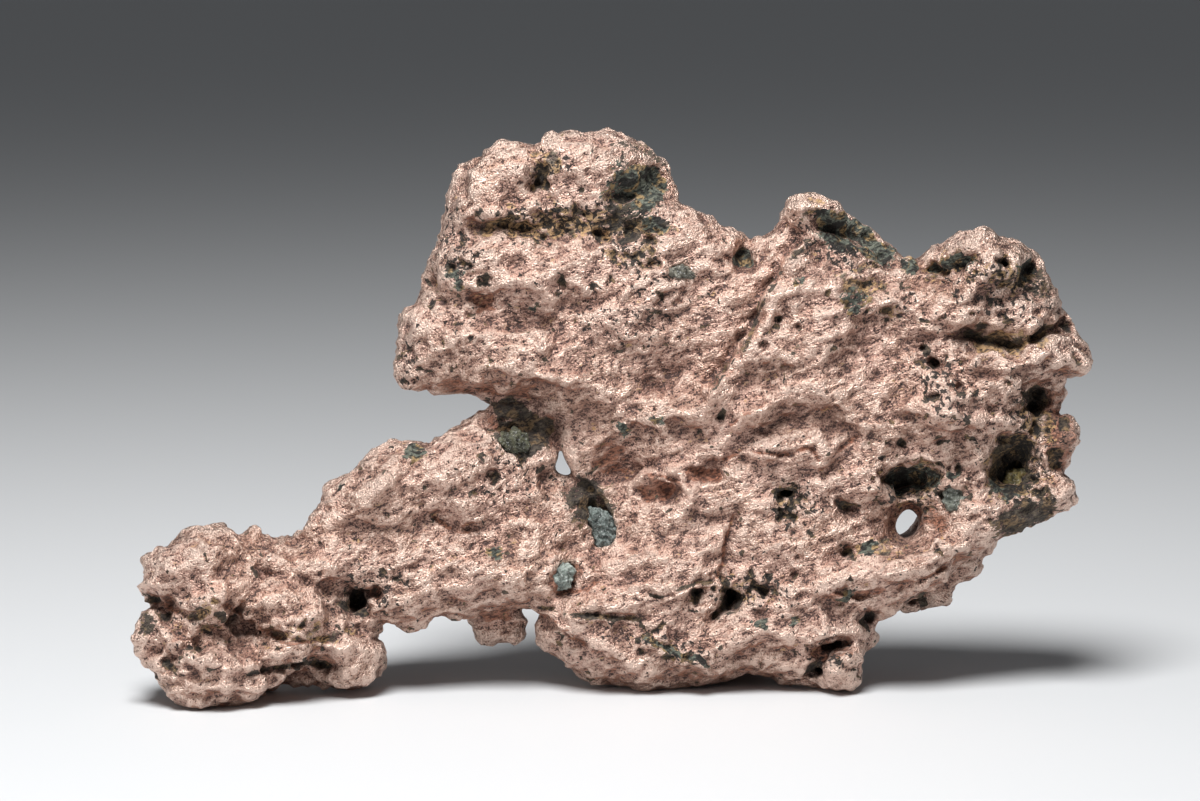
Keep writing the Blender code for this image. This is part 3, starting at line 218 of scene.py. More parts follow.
# Where the copper is peppered with small ragged pits, and how thickly.
Swarm = namedtuple("Swarm", "x z wide high roll thick", defaults=(0, 0.7))
SWARMS = [Swarm(*row) for row in (
    (-4.0, 48.6, 10.0, 2.6, 2, 1.0), (-15.6, 46.2, 2.6, 5.0, 20, 1.0), (-6.8, 53.8, 2.4, 2.6, 0, 0.9),
    (-12.0, 38.0, 9.0, 4.0, 0, 0.3), (2.0, 40.0, 8.0, 5.0, 0, 0.5), (22.0, 46.0, 6.0, 2.6, -20, 0.9),
    (38.0, 42.0, 7.0, 3.6, -20, 0.9), (32.6, 32.6, 3.6, 5.0, 20, 0.9), (41.0, 26.0, 4.0, 7.0, 0, 0.9),
    (14.0, 11.6, 6.0, 2.6, 0, 0.9), (18.0, 20.4, 4.0, 3.0, 0, 0.8), (30.0, 22.0, 6.0, 4.0, 0, 0.7),
    (-10.0, 23.5, 6.4, 4.0, 0, 0.6), (-24.0, 12.0, 5.0, 3.0, 0, 0.8), (-42.0, 9.0, 5.0, 6.0, 0, 0.35),
    (-32.0, 7.0, 7.0, 3.0, 0, 0.35), (6.0, 6.0, 8.0, 2.0, -15, 0.7), (1.6, 45.6, 4.0, 2.4, 0, 0.9),
    (-20.6, 34.6, 1.8, 4.0, 0, 0.7), (26.6, 39.6, 4.0, 2.0, 0, 0.6), (21.6, 5.0, 3.0, 2.4, 0, 0.9),
)]

# The back is dressed at random: how many of each kind of mark, where they may lie and how big they
# are. Most of its pits are near the least size.
BACK_SEED = 23
BACK_PITS = 60
BACK_STAINS = 46
BACK_SWARMS = 24
SPOTS_ACROSS = (-46, 47)
SPOTS_UP = (1, 57)
SPOT_STRETCH = (1.0, 1.8)
SPOT_ROLLS = (-90, 90)
SPOT_KINDS = ("dark", "dark", "green", "ochre", "rust")
LEAST_PIT, PIT_SPREAD = 0.35, 1.2
BACK_DEPTHS = (0.5, 1.3)
STAIN_SIZES = (0.5, 2.6)
STAIN_STRENGTHS = (0.6, 0.85)
SWARM_SPANS = Swarm((-44, 45), (4, 54), (2, 8), (2, 5), (-60, 60), (0.5, 1.0))


class Value:
    """A shader socket that Python's own operators work on."""

    def __init__(self, graph, socket):
        self.graph = graph
        self.socket = socket

    def math(self, operation, other):
        return self.graph.node("ShaderNodeMath", {"operation": operation}, {0: self, 1: other})

    def __add__(self, other):
        return self.math("ADD", other)

    def __sub__(self, other):
        return self.math("SUBTRACT", other)

    def __mul__(self, other):
        return self.math("MULTIPLY", other)

    def __rsub__(self, other):
        return self.graph.node("ShaderNodeMath", {"operation": "SUBTRACT"}, {0: other, 1: self})

    __radd__ = __add__
    __rmul__ = __mul__

    def between(self, low, high):
        """0 up to low, 1 from high, and an even curve between them."""
        inputs = {"Value": self, "From Min": low, "From Max": high}
        return self.graph.node("ShaderNodeMapRange", {"interpolation_type": "SMOOTHSTEP"}, inputs)


class Graph:
    """The node tree of one material."""

    def __init__(self, name):
        self.material = bpy.data.materials.new(name)
        self.material.use_nodes = True
        self.tree = self.material.node_tree
        self.shader = self.tree.nodes["Principled BSDF"]
        self.place = self.node("ShaderNodeTexCoord", {}, {}, "Object")

    def node(self, kind, settings, inputs, output=0):
        """One output of a new node, made with its settings first and then the values of its sockets."""
        made = self.tree.nodes.new(kind)
        for name, value in settings.items():
            setattr(made, name, value)
        for name, value in inputs.items():
            self.feed(made.inputs[name], value)
        return Value(self, made.outputs[output])

    def feed(self, socket, value):
        """Links a value to the socket, or sets the socket's own number."""
        if isinstance(value, Value):
            self.tree.links.new(value.socket, socket)
        else:
            socket.default_value = value

    def noise(self, place, size, detail, twist, output=0):
        """Noise of grains about size millimetres across, read at a place."""
        inputs = {"Vector": place, "Scale": 1.0 / (size * MM), "Detail": detail, "Distortion": twist}
        return self.node("ShaderNodeTexNoise", {}, inputs, output)

    def grain(self, size, detail=3.0, twist=0.0):
        """Noise from 0 to 1 whose grains are about size millimetres across."""
        return self.noise(self.place, size, detail, twist)

    def along(self):
        """The place, squeezed along the folds of the copper."""
        return self.node("ShaderNodeMapping", {"vector_type": "TEXTURE"}, {
            "Vector": self.place, "Rotation": (0.0, -GRAIN, 0.0), "Scale": FOLD_SCALE,
        })

    def streaks(self, size, detail=3.0, twist=0.0):
        """Grains drawn out along the folds of the copper."""
        return self.noise(self.along(), size, detail, twist)

    def dents(self, size):
        """Hammered dents about size millimetres across, with sharp ridges between them."""
        place = self.along()
        push = self.noise(place, size, 2.0, 0.0, "Color")
        moved = self.node("ShaderNodeVectorMath", {"operation": "MULTIPLY_ADD"}, {
            0: push, 1: (DENT_WARP * size * MM,) * 3, 2: place,
        })
        return self.node("ShaderNodeTexVoronoi", {}, {"Vector": moved, "Scale": 1.0 / (size * MM)})

    def attribute(self, name):
        """What the mesh stores under a name."""
        return self.node("ShaderNodeAttribute", {"attribute_name": name}, {}, "Fac")

    def blend(self, share, first, second):
        """The first colour where share is 0, and the second where it is 1."""
        first, second = ((*c, 1.0) if isinstance(c, tuple) else c for c in (first, second))
        return self.node("ShaderNodeMix", {"data_type": "RGBA"}, {0: share, 6: first, 7: second}, 2)

    def mottled(self, share, crust):
        """A crust's dark and light colour, mixed as share passes from one of its edges to the other."""
        return self.blend(share.between(*crust.edges), crust.dark, crust.light)

    def bump(self, height, strength, distance):
        """The normal of a relief whose full height is distance millimetres."""
        inputs = {"Height": height, "Strength": strength, "Distance": distance * MM}
        return self.node("ShaderNodeBump", {}, inputs)

    def surface(self, **inputs):
        """The material, with these inputs of its shader."""
        for name, value in inputs.items():
            self.feed(self.shader.inputs[name.replace("_", " ")], value)
        return self.material


def smoothstep(low, high, value):
    """0 up to low, 1 from high, and an even curve between them."""
    t = np.clip((value - low) / (high - low), 0.0, 1.0)
    return t * t * (3.0 - 2.0 * t)


def points_of(mesh):
    """The mesh's vertices in millimetres."""
    flat = np.empty(len(mesh.vertices) * 3, np.float32)
    mesh.vertices.foreach_get("co", flat)
    return flat.reshape(-1, 3).astype(float) / MM


def normals_of(mesh):
    """The direction that the skin faces at each vertex."""
    flat = np.empty(len(mesh.vertices) * 3, np.float32)
    mesh.vertex_normals.foreach_get("vector", flat)
    return flat.reshape(-1, 3).astype(float)


def set_points(mesh, points):
    """Moves the mesh's vertices to places in millimetres."""
    mesh.vertices.foreach_set("co", (points * MM).astype(np.float32).ravel())
    mesh.update()


def face_places(points):
    """Where each point lies on the drawn show face."""
    x = points[:, 0] + SHIFT_X
    z = points[:, 2] + FALL * (points[:, 1] + SHIFT_Y - FOREMOST_FOOT)
    return np.stack([x, z], axis=1)


# Noise: what all of it starts from, and how far each further seed moves it.
NOISE_SEED = 5
SEED_STEP = (7.1, 3.3, 5.7)

# Flakes: how far apart their tilts are drawn, and how wide the blunt edge between two of them is.
TILT_STEP = 97.0
BLUNT_EDGE = 0.12

# Terraces: how many treads the noise is cut into, and which part of a tread its riser takes up.
TREADS = 2.6
RISER = (0.38, 0.62)


def noise_places(points, size, seed):
    """Where in the noise each point lies, for grains of that size and for that seed."""
    away = Vector([seed * step for step in SEED_STEP])
    return [Vector(point) / size + away for point in points]


def lumps(points, size, seed, octaves=3):
    """Fractal noise at each point, from about -1 to 1."""
    return np.array([noise.fractal(p, 1.0, 2.0, octaves) for p in noise_places(points, size, seed)])


def creases(points, size, seed):
    """Noise of sharp crests between round hollows, from -1 to 1."""
    return np.array([1.0 - 2.0 * abs(noise.noise(p)) for p in noise_places(points, size, seed)])


def flake_height(place, middle):
    """How high the tilted flake round that middle stands at a place."""
    return (place - middle).dot(noise.cell_vector(middle * TILT_STEP))


def facets(points, size, tilt, seed):
    """The height of flat flakes about size across, each tilted its own way and lapping the next."""
    heights = np.empty(len(points))
    for index, place in enumerate(noise_places(points, size, seed)):
        (near, next_near, *_), (own, other, *_) = noise.voronoi(place)
        height = flake_height(place, own)
        edge = (next_near - near) / BLUNT_EDGE
        if edge < 1.0:
            height += 0.5 * (1.0 - edge) * (flake_height(place, other) - height)
        heights[index] = height
    return size * tilt * heights


def terraces(points, size, seed):
    """Noise of flat treads and steep risers, less its even slope: the edges of lapped flakes."""
    level = TREADS * lumps(points, size, seed)
    tread = np.floor(level)
    return tread + smoothstep(*RISER, level - tread) - level


def layered(kind, points, *layers):
    """The sum of one kind of noise in several layers."""
    return sum(layer.height * kind(points, layer.size, layer.seed) for layer in layers)


def warped(face, points, warps):
    """The places pushed about by noise, so that what is drawn there gets a ragged edge."""
    for amount, size in warps:
        push = np.array([noise.noise_vector(Vector(p) / size)[:2] for p in points])
        face = face + amount * push
    return face


def in_oval(face, spot):
    """How far each place is from a spot's middle, in half sizes of the spot."""
    turn = math.radians(spot.roll)
    x, z = face[:, 0] - spot.x, face[:, 1] - spot.z
    across = x * math.cos(turn) + z * math.sin(turn)
    upward = z * math.cos(turn) - x * math.sin(turn)
    return np.hypot(across / spot.wide, upward / spot.high)


def line_distance(face, points):
    """How far each place is from the line, and on which side: 1 on the left, -1 on the right."""
    nearest = np.full(len(face), np.inf)
    side = np.ones(len(face))
    for start, end in zip(points, points[1:]):
        start, along = np.array(start), np.array(end) - np.array(start)
        share = np.clip((face - start) @ along / (along @ along), 0.0, 1.0)
        away = face - start - share[:, None] * along
        distance = np.hypot(away[:, 0], away[:, 1])
        closer = distance < nearest
        nearest[closer] = distance[closer]
        side[closer] = np.sign(along[0] * away[:, 1] - along[1] * away[:, 0])[closer]
    return nearest, side


def thrown(chance, size, deep):
    """A spot anywhere on the back."""
    return Spot(
        chance.uniform(*SPOTS_ACROSS), chance.uniform(*SPOTS_UP), size * chance.uniform(*SPOT_STRETCH),
        size, chance.uniform(*SPOT_ROLLS), deep, chance.choice(SPOT_KINDS),
    )


def back_spots():
    """Pits and stains of the back, thrown over the whole of it."""
    chance = random.Random(BACK_SEED)
    pits = [
        thrown(chance, LEAST_PIT + PIT_SPREAD * chance.random() ** 3, chance.uniform(*BACK_DEPTHS))
        for _ in range(BACK_PITS)
    ]
    stains = [
        thrown(chance, chance.uniform(*STAIN_SIZES), chance.uniform(*STAIN_STRENGTHS))
        for _ in range(BACK_STAINS)
    ]
    return pits, stains


def back_swarms():
    """Where the back is peppered with small pits."""
    chance = random.Random(BACK_SEED + 1)
    return [Swarm(*(chance.uniform(*span) for span in SWARM_SPANS)) for _ in range(BACK_SWARMS)]


# How a spot is pressed in: how far from it the points are still looked at, in its half sizes, how
# deep a pit of depth 1 is, its raised rim's place in half sizes, width and height, and how far its
# walls slope. Then come the edges, in half sizes, of a pit's lining, of a stain and of a swarm.
SPOT_REACH = 1.7
PIT_DEPTH = 0.7
RIM_AT, RIM_WIDTH, RIM_HEIGHT = 1.35, 0.22, 0.10
FRONT_SLOPE, BACK_SLOPE = 0.3, 0.4
LINING_EDGE = (0.75, 1.15)
STAIN_EDGE = (0.3, 1.4)
SWARM_EDGE = (0.3, 1.3)

# How a crack is pressed in: its lip's height, as a share of the depth, and reach in millimetres,
# the groove's reach in crack widths, the reach of the lining on the lip's side and on the groove's,
# and how much of the lining is left where the crack breaks off.
LIP_HEIGHT, LIP_REACH = 0.45, 0.8
GROOVE_REACH = 1.7
LIP_LINING, GROOVE_LINING = 0.5, 1.2
LEAST_LINING = 0.45

# The small pits: the noise over which they open, how much a swarm adds to it, their depth and how
# dark they are.
POCK_EDGE = (0.56, 0.68)
CROWDING = 0.34
POCK_DEPTH = 0.75
POCK_LINING = 0.85


class Relief:
    """Adds up the carving and the linings of one side of the nugget."""

    def __init__(self, face, calm, weight):
        self.face = face
        self.calm = calm
        self.weight = weight
        self.height = np.zeros(len(face))
        self.crowd = np.zeros(len(face))
        self.lining = {kind: np.zeros(len(face)) for kind in KINDS}

    def _line(self, kind, share, where=slice(None)):
        lining = self.lining[kind]
        lining[where] = np.maximum(lining[where], share)

    def _ovals(self, spots):
        """Each spot, with the points near it, their weights and their distances in half sizes."""
        for spot in spots:
            reach = SPOT_REACH * max(spot.wide, spot.high)
            near = np.flatnonzero(
                (np.abs(self.face[:, 0] - spot.x) < reach) & (np.abs(self.face[:, 1] - spot.z) < reach)
            )
            if len(near):
                yield spot, near, self.weight[near], in_oval(self.face[near], spot)

    def pits(self, pits, slope):
        """Pits with a raised rim and a lining."""
        for pit, near, weight, radius in self._ovals(pits):
            floor = 1.0 - smoothstep(1.0 - slope, 1.0 + slope, radius)
            rim = np.exp(-(((radius - RIM_AT) / RIM_WIDTH) ** 2))
            self.height[near] -= weight * (PIT_DEPTH * pit.deep * floor - RIM_HEIGHT * rim)
            self._line(pit.kind, weight * (1.0 - smoothstep(*LINING_EDGE, radius)), near)

    def stains(self, stains):
        """Stains, which leave the height as it is."""
        for stain, near, weight, radius in self._ovals(stains):
            self._line(stain.kind, stain.deep * weight * (1.0 - smoothstep(*STAIN_EDGE, radius)), near)

    def cracks(self, cracks, broken):
        """Lapped edges: a lip on one side of the line, a groove and a slope on the other."""
        for crack in cracks:
            away, side = line_distance(self.calm, crack.points)
            lip = side * crack.lip > 0
            groove = np.exp(-away / (GROOVE_REACH * crack.wide))
            fall = np.where(lip, -LIP_HEIGHT * np.exp(-away / LIP_REACH), groove)
            self.height -= crack.deep * self.weight * broken * fall
            lining = np.exp(-((away / np.where(lip, LIP_LINING, GROOVE_LINING) / crack.wide) ** 2))
            kept = LEAST_LINING + (1.0 - LEAST_LINING) * broken
            self._line(crack.kind, self.weight * kept * lining)

    def pocks(self, swarms, grain):
        """Small ragged pits, thick where a swarm lies and few elsewhere."""
        for swarm in swarms:
            share = swarm.thick * (1.0 - smoothstep(*SWARM_EDGE, in_oval(self.face, swarm)))
            self.crowd = np.maximum(self.crowd, self.weight * share)
        pock = self.weight * smoothstep(*POCK_EDGE, grain + CROWDING * self.crowd)
        self.height -= POCK_DEPTH * pock
        self._line("dark", POCK_LINING * pock)

    def crusts(self, grain, crumbs):
        """The rough fill of the dark, green and ochre linings."""
        crust = np.maximum(self.lining["dark"], self.lining["green"])
        crumbly = np.maximum(crust, self.lining["ochre"])
        self.height += CRUST_GRAIN * crust * grain + CRUST_CRUMBS * crumbly * crumbs


# The pushes that make the drawn edges ragged, each with its amount and the size of its noise: those
# of the cracks, and those that are added to them for all else.
CALM_WARPS = ((0.4, 3.0), (0.16, 0.9))
RAGGED_WARPS = ((0.24, 0.5), (0.6, 1.3), (0.8, 2.6))

# How far the skin has to turn towards a side for that side's drawing to begin and to be at its full
# strength.
FACING = (0.0, 0.35)

# The noises that the relief shares, and how high the first and the last stand in a crust. Cracks
# break off where the second one runs low.
GRAIN_SIZE, GRAIN_SEED, CRUST_GRAIN = 1.0, 8, 0.35
BREAK_SIZE, BREAK_SEED, BREAK_EDGE = 2.2, 9, (-0.6, 0.1)
CRUMB_SIZE, CRUMB_SEED, CRUST_CRUMBS = 0.9, 12, 0.30


def reliefs(points, normals):
    """The relief of the show face and that of the back."""
    calm = warped(face_places(points), points, CALM_WARPS)
    face = warped(calm, points, RAGGED_WARPS)
    grain = lumps(points, GRAIN_SIZE, GRAIN_SEED)
    broken = smoothstep(*BREAK_EDGE, lumps(points, BREAK_SIZE, BREAK_SEED, octaves=2))
    crumbs = creases(points, CRUMB_SIZE, CRUMB_SEED)
    front = Relief(face, calm, smoothstep(*FACING, -normals[:, 1]))
    front.pits(PITS, FRONT_SLOPE)
    front.stains(STAINS)
    front.cracks(CRACKS, broken)
    front.pocks(SWARMS, grain)
    front.crusts(grain, crumbs)
    back = Relief(face, calm, smoothstep(*FACING, normals[:, 1]))
    pits, stains = back_spots()
    back.pits(pits, BACK_SLOPE)
    back.stains(stains)
    back.pocks(back_swarms(), grain)
    back.crusts(grain, crumbs)
    return front, back


def baked(obj):
    """The object with every modifier applied."""
    graph = bpy.context.evaluated_depsgraph_get()
    rough_mesh, obj.data = obj.data, bpy.data.meshes.new_from_object(obj.evaluated_get(graph))
    bpy.data.meshes.remove(rough_mesh)
    obj.modifiers.clear()
    return obj


def remeshed(obj, voxel):
    """The object on an even grid of that many millimetres."""
    modifier = obj.modifiers.new("Remesh", "REMESH")
    modifier.mode = "VOXEL"
    modifier.voxel_size = voxel * MM
    return baked(obj)


def softened(obj, times):
    """The object smoothed that many times."""
    modifier = obj.modifiers.new("Smooth", "SMOOTH")
    modifier.factor = 0.5
    modifier.iterations = times
    return baked(obj)


# How the copper is thinned: the show face's weight, where the back's is 1, the number of steps from
# one to the other, and how much a weight counts.
FRONT_THINNING = 0.1
THINNING_STEPS = 4
THINNING_FACTOR = 5e-6


def thinned(obj, faces):
    """The object with that many triangles at most. The back gives up more than the show face does."""
    obj.data.calc_loop_triangles()
    share = faces / len(obj.data.loop_triangles)
    if share < 1.0:
        group = obj.vertex_groups.new(name="thinned")
        facing = smoothstep(-0.5, 0.5, normals_of(obj.data)[:, 1])
        for step in range(THINNING_STEPS + 1):
            members = np.flatnonzero(np.round(facing * THINNING_STEPS) == step).tolist()
            group.add(members, FRONT_THINNING + (1.0 - FRONT_THINNING) * step / THINNING_STEPS, "REPLACE")
        modifier = obj.modifiers.new("Decimate", "DECIMATE")
        modifier.ratio = share
        modifier.vertex_group = group.name
        modifier.vertex_group_factor = THINNING_FACTOR
    return baked(obj)


def copy_of(node, name):
    """A bare copy of a solid, under a name of its own."""
    copy = bpy.data.objects.new(name, node.data.copy())
    copy.data.materials.clear()
    bpy.context.scene.collection.objects.link(copy)
    return copy


# The carving fades out over this height above the ground.
FOOT_FLAT = 0.8

# Where the even swelling round an opening starts to end and has ended, in reaches of the opening.
OPENING_EDGE = (0.7, 1.3)

# The frame in which the skin's noise is made: how far it is bent and by what size of noise, and how
# much it is squeezed along the folds and into the depth.
BEND, BEND_SIZE = 0.7, 3.0
SQUEEZE_ALONG, SQUEEZE_DEEP = 0.6, 0.8

# The layers of the skin: the size of what each shows, its height, or its tilt for flakes, and its
# seed. Between the edges given, the small flakes get livelier at the right and on the knob, and the
# folds of the rim fade out towards the show face and the back.
Layer = namedtuple("Layer", "size height seed")
LARGE_FLAKES = Layer(4.6, 0.14, 1)
SMALL_FLAKES = (Layer(2.0, 0.13, 2), Layer(0.95, 0.09, 3))
LEDGES = (Layer(4.6, 0.34, 1), Layer(2.2, 0.16, 3))
FOLDS = Layer(1.5, 0.10, 2)
BLISTERS = Layer(0.8, 0.06, 4)
RIM_FOLDS = Layer(1.3, 0.30, 7)
RIGHT_EDGE = (18.0, 40.0)
KNOB_EDGE, KNOB_LIVELINESS = (22.0, 36.0), 1.7
RIM_EDGE = (0.25, 0.75)


def grounded(before, after):
    """Keeps the flats of the feet: what stood on the ground stays there."""
    lift = smoothstep(0.0, FOOT_FLAT, before[:, 2])
    after[:, 2] = np.maximum(before[:, 2] + (after[:, 2] - before[:, 2]) * lift, 0.0)
    return after


def even_walls(points, skin):
    """The skin with the same swelling all along the walls of each opening, so that none closes."""
    face = face_places(points)
    for opening in OPENINGS:
        inner, outer = (edge * opening.reach for edge in OPENING_EDGE)
        near = 1.0 - smoothstep(inner, outer, line_distance(face, opening.points)[0])
        skin = skin + near * (opening.swell - skin)
    return skin


def along_folds(points):
    """The points in a frame that is bent and runs along the folds of the copper."""
    bent = points + BEND * np.array([noise.noise_vector(Vector(p) / BEND_SIZE) for p in points])
    along = bent[:, 0] * math.cos(GRAIN) + bent[:, 2] * math.sin(GRAIN)
    across = bent[:, 2] * math.cos(GRAIN) - bent[:, 0] * math.sin(GRAIN)
    return np.stack([SQUEEZE_ALONG * along, SQUEEZE_DEEP * bent[:, 1], across], axis=1)


def metal_skin(points, normals):
    """The height of the metal's own grain at each point."""
    folded = along_folds(points)
    right = smoothstep(*RIGHT_EDGE, points[:, 0])
    knob = smoothstep(*KNOB_EDGE, -points[:, 0])
    lively = 1.0 + right + KNOB_LIVELINESS * knob
    skin = facets(folded, *LARGE_FLAKES) + lively * sum(facets(folded, *layer) for layer in SMALL_FLAKES)
    skin += layered(terraces, folded, *LEDGES)
    skin += layered(creases, folded, FOLDS) + layered(lumps, points, BLISTERS)
    rim = 1.0 - smoothstep(*RIM_EDGE, np.abs(normals[:, 1]))
    return skin + RIM_FOLDS.height * rim * creases(points, RIM_FOLDS.size, RIM_FOLDS.seed)


def carve(obj, settings):
    """Presses the drawn relief and the grain of the metal into the mesh."""
    points, normals = points_of(obj.data), normals_of(obj.data)
    front, back = reliefs(points, normals)
    carved = points.copy()
    carved[:, 1] -= front.height
    carved[:, 1] += back.height
    skin = even_walls(points, settings.dents * metal_skin(points, normals))
    carved += normals * skin[:, None]
    set_points(obj.data, grounded(points, carved))


# What the material reads of the skin's own shape: the rounds of smoothing that the skin is held
# against, and the millimetres between what stands out fully and what is fully sunk.
HOLLOWS = {"hollow": (6, 0.16), "sunk": (60, 0.9)}

RAY_LIFT, RAY_SPREAD, QUICK_RAYS, RAY_SEED = 0.08, 0.95, 4, 9

# How strongly the undersides are darkened with painted shade in the rust colours, and how far the skin has
# to turn down for it.
UNDERSIDE_SHADE, UNDER_EDGE = 0.75, (0.35, 0.85)


def hollowness(mesh, points, normals, rounds):
    """How far each vertex lies below the smoothed skin round it, in millimetres."""
    ends = np.empty(len(mesh.edges) * 2, np.int32)
    mesh.edges.foreach_get("vertices", ends)
    first, second = ends.reshape(-1, 2).T
    count = np.bincount(np.concatenate([first, second]), minlength=len(points))[:, None]
    smooth = points
    for _ in range(rounds):
        total = np.zeros_like(points)
        np.add.at(total, first, smooth[second])
        np.add.at(total, second, smooth[first])
        smooth = 0.5 * smooth + 0.5 * total / count
    return np.einsum("ij,ij->i", smooth - points, normals)


def buried(obj, points, normals, rays, reach):
    """The share of the sky over each vertex that the copper itself hides within reach."""
    tree = BVHTree.FromObject(obj, bpy.context.evaluated_depsgraph_get())
    chance = random.Random(RAY_SEED)
    ways = [Vector([chance.gauss(0, 1) for _ in range(3)]).normalized() for _ in range(rays)]
    hidden = np.zeros(len(points))
    for index, (point, normal) in enumerate(zip(points, normals)):
        normal = Vector(normal)
        start = (Vector(point) + RAY_LIFT * normal) * MM
        for way in ways:
            hit = tree.ray_cast(start, (normal + RAY_SPREAD * way).normalized(), reach * MM)
            hidden[index] += hit[0] is not None
    return hidden / rays


def store(mesh, name, values):
    """Keeps a number for each vertex under a name that the material reads."""
    attribute = mesh.attributes.new(name, "FLOAT", "POINT")
    attribute.data.foreach_set("value", values.astype(np.float32))


def mark(obj, settings):
    """Stores what the copper's material needs to know of each vertex."""
    mesh = obj.data
    points, normals = points_of(mesh), normals_of(mesh)
    front, back = reliefs(points, normals)
    # Painted shade: the more the skin faces down, the more it takes the rust colours.
    underside_shade = UNDERSIDE_SHADE * smoothstep(*UNDER_EDGE, -normals[:, 2])
    front.lining["rust"] = np.maximum(front.lining["rust"], underside_shade)
    for kind in KINDS:
        store(mesh, kind, np.maximum(front.lining[kind], back.lining[kind]))
    store(mesh, "crowd", np.maximum(front.crowd, back.crowd))
    for name, (rounds, span) in HOLLOWS.items():
        store(mesh, name, np.clip(0.5 + hollowness(mesh, points, normals, rounds) / span, 0.0, 1.0))
    rays = settings.rays
    store(mesh, "buried", buried(obj, points, normals, rays, settings.shade_reach))


# The crusts: their dark and their light colour, and the edges between which the grit turns one into
# the other.
Crust = namedtuple("Crust", "dark light edges")
# The rust's colours paint the shade of the undersides as well as the rust.
RUST_AND_SHADE = Crust((0.09, 0.034, 0.022), (0.38, 0.16, 0.095), (0.40, 0.60))
SOOT = Crust((0.016, 0.014, 0.010), (0.10, 0.085, 0.05), (0.38, 0.62))
EARTH = Crust((0.05, 0.033, 0.018), (0.50, 0.31, 0.14), (0.38, 0.60))
ROCK = Crust((0.022, 0.026, 0.022), (0.15, 0.16, 0.125), (0.38, 0.62))
ROCK_CRUMBS = Crust((0.04, 0.026, 0.014), (0.40, 0.26, 0.12), (0.38, 0.60))
BLACK = Crust((0.014, 0.012, 0.010), (0.07, 0.055, 0.035), (0.40, 0.65))
BLACK_CRUMBS = Crust((0.03, 0.018, 0.010), (0.24, 0.15, 0.07), (0.40, 0.60))

# The dark of the specks in the metal, of the gaps in the rock and of the small pits, and the colour of the
# painted shade in the hollows that the copper hides from the sky.
SPECK_COLOUR = (0.060, 0.036, 0.034)
GAP_COLOUR = (0.018, 0.016, 0.013)
PEPPER_COLOUR = (0.018, 0.014, 0.012)
PAINTED_SHADE_COLOUR = (0.024, 0.015, 0.011)

CRUST_ROUGHNESS = 0.8


def earthy(graph, grit, patch):
    """Ochre earth with soot over some patches of it."""
    return graph.blend(patch.between(0.52, 0.60), graph.mottled(grit, EARTH), graph.mottled(grit, SOOT))


def rocky(graph, grit, patch):
    """Dark green rock with brown crumbs on some patches of it and dark gaps at others."""
    crumbs = patch.between(0.53, 0.60) * 0.9
    rock = graph.blend(crumbs, graph.mottled(grit, ROCK), graph.mottled(grit, ROCK_CRUMBS))
    return graph.blend(1.0 - patch.between(0.40, 0.47), rock, GAP_COLOUR)


def blackish(graph, grit, patch):
    """Black lining with brown crumbs on some patches of it."""
    crumbs = patch.between(0.50, 0.60) * 0.8
    return graph.blend(crumbs, graph.mottled(grit, BLACK), graph.mottled(grit, BLACK_CRUMBS))


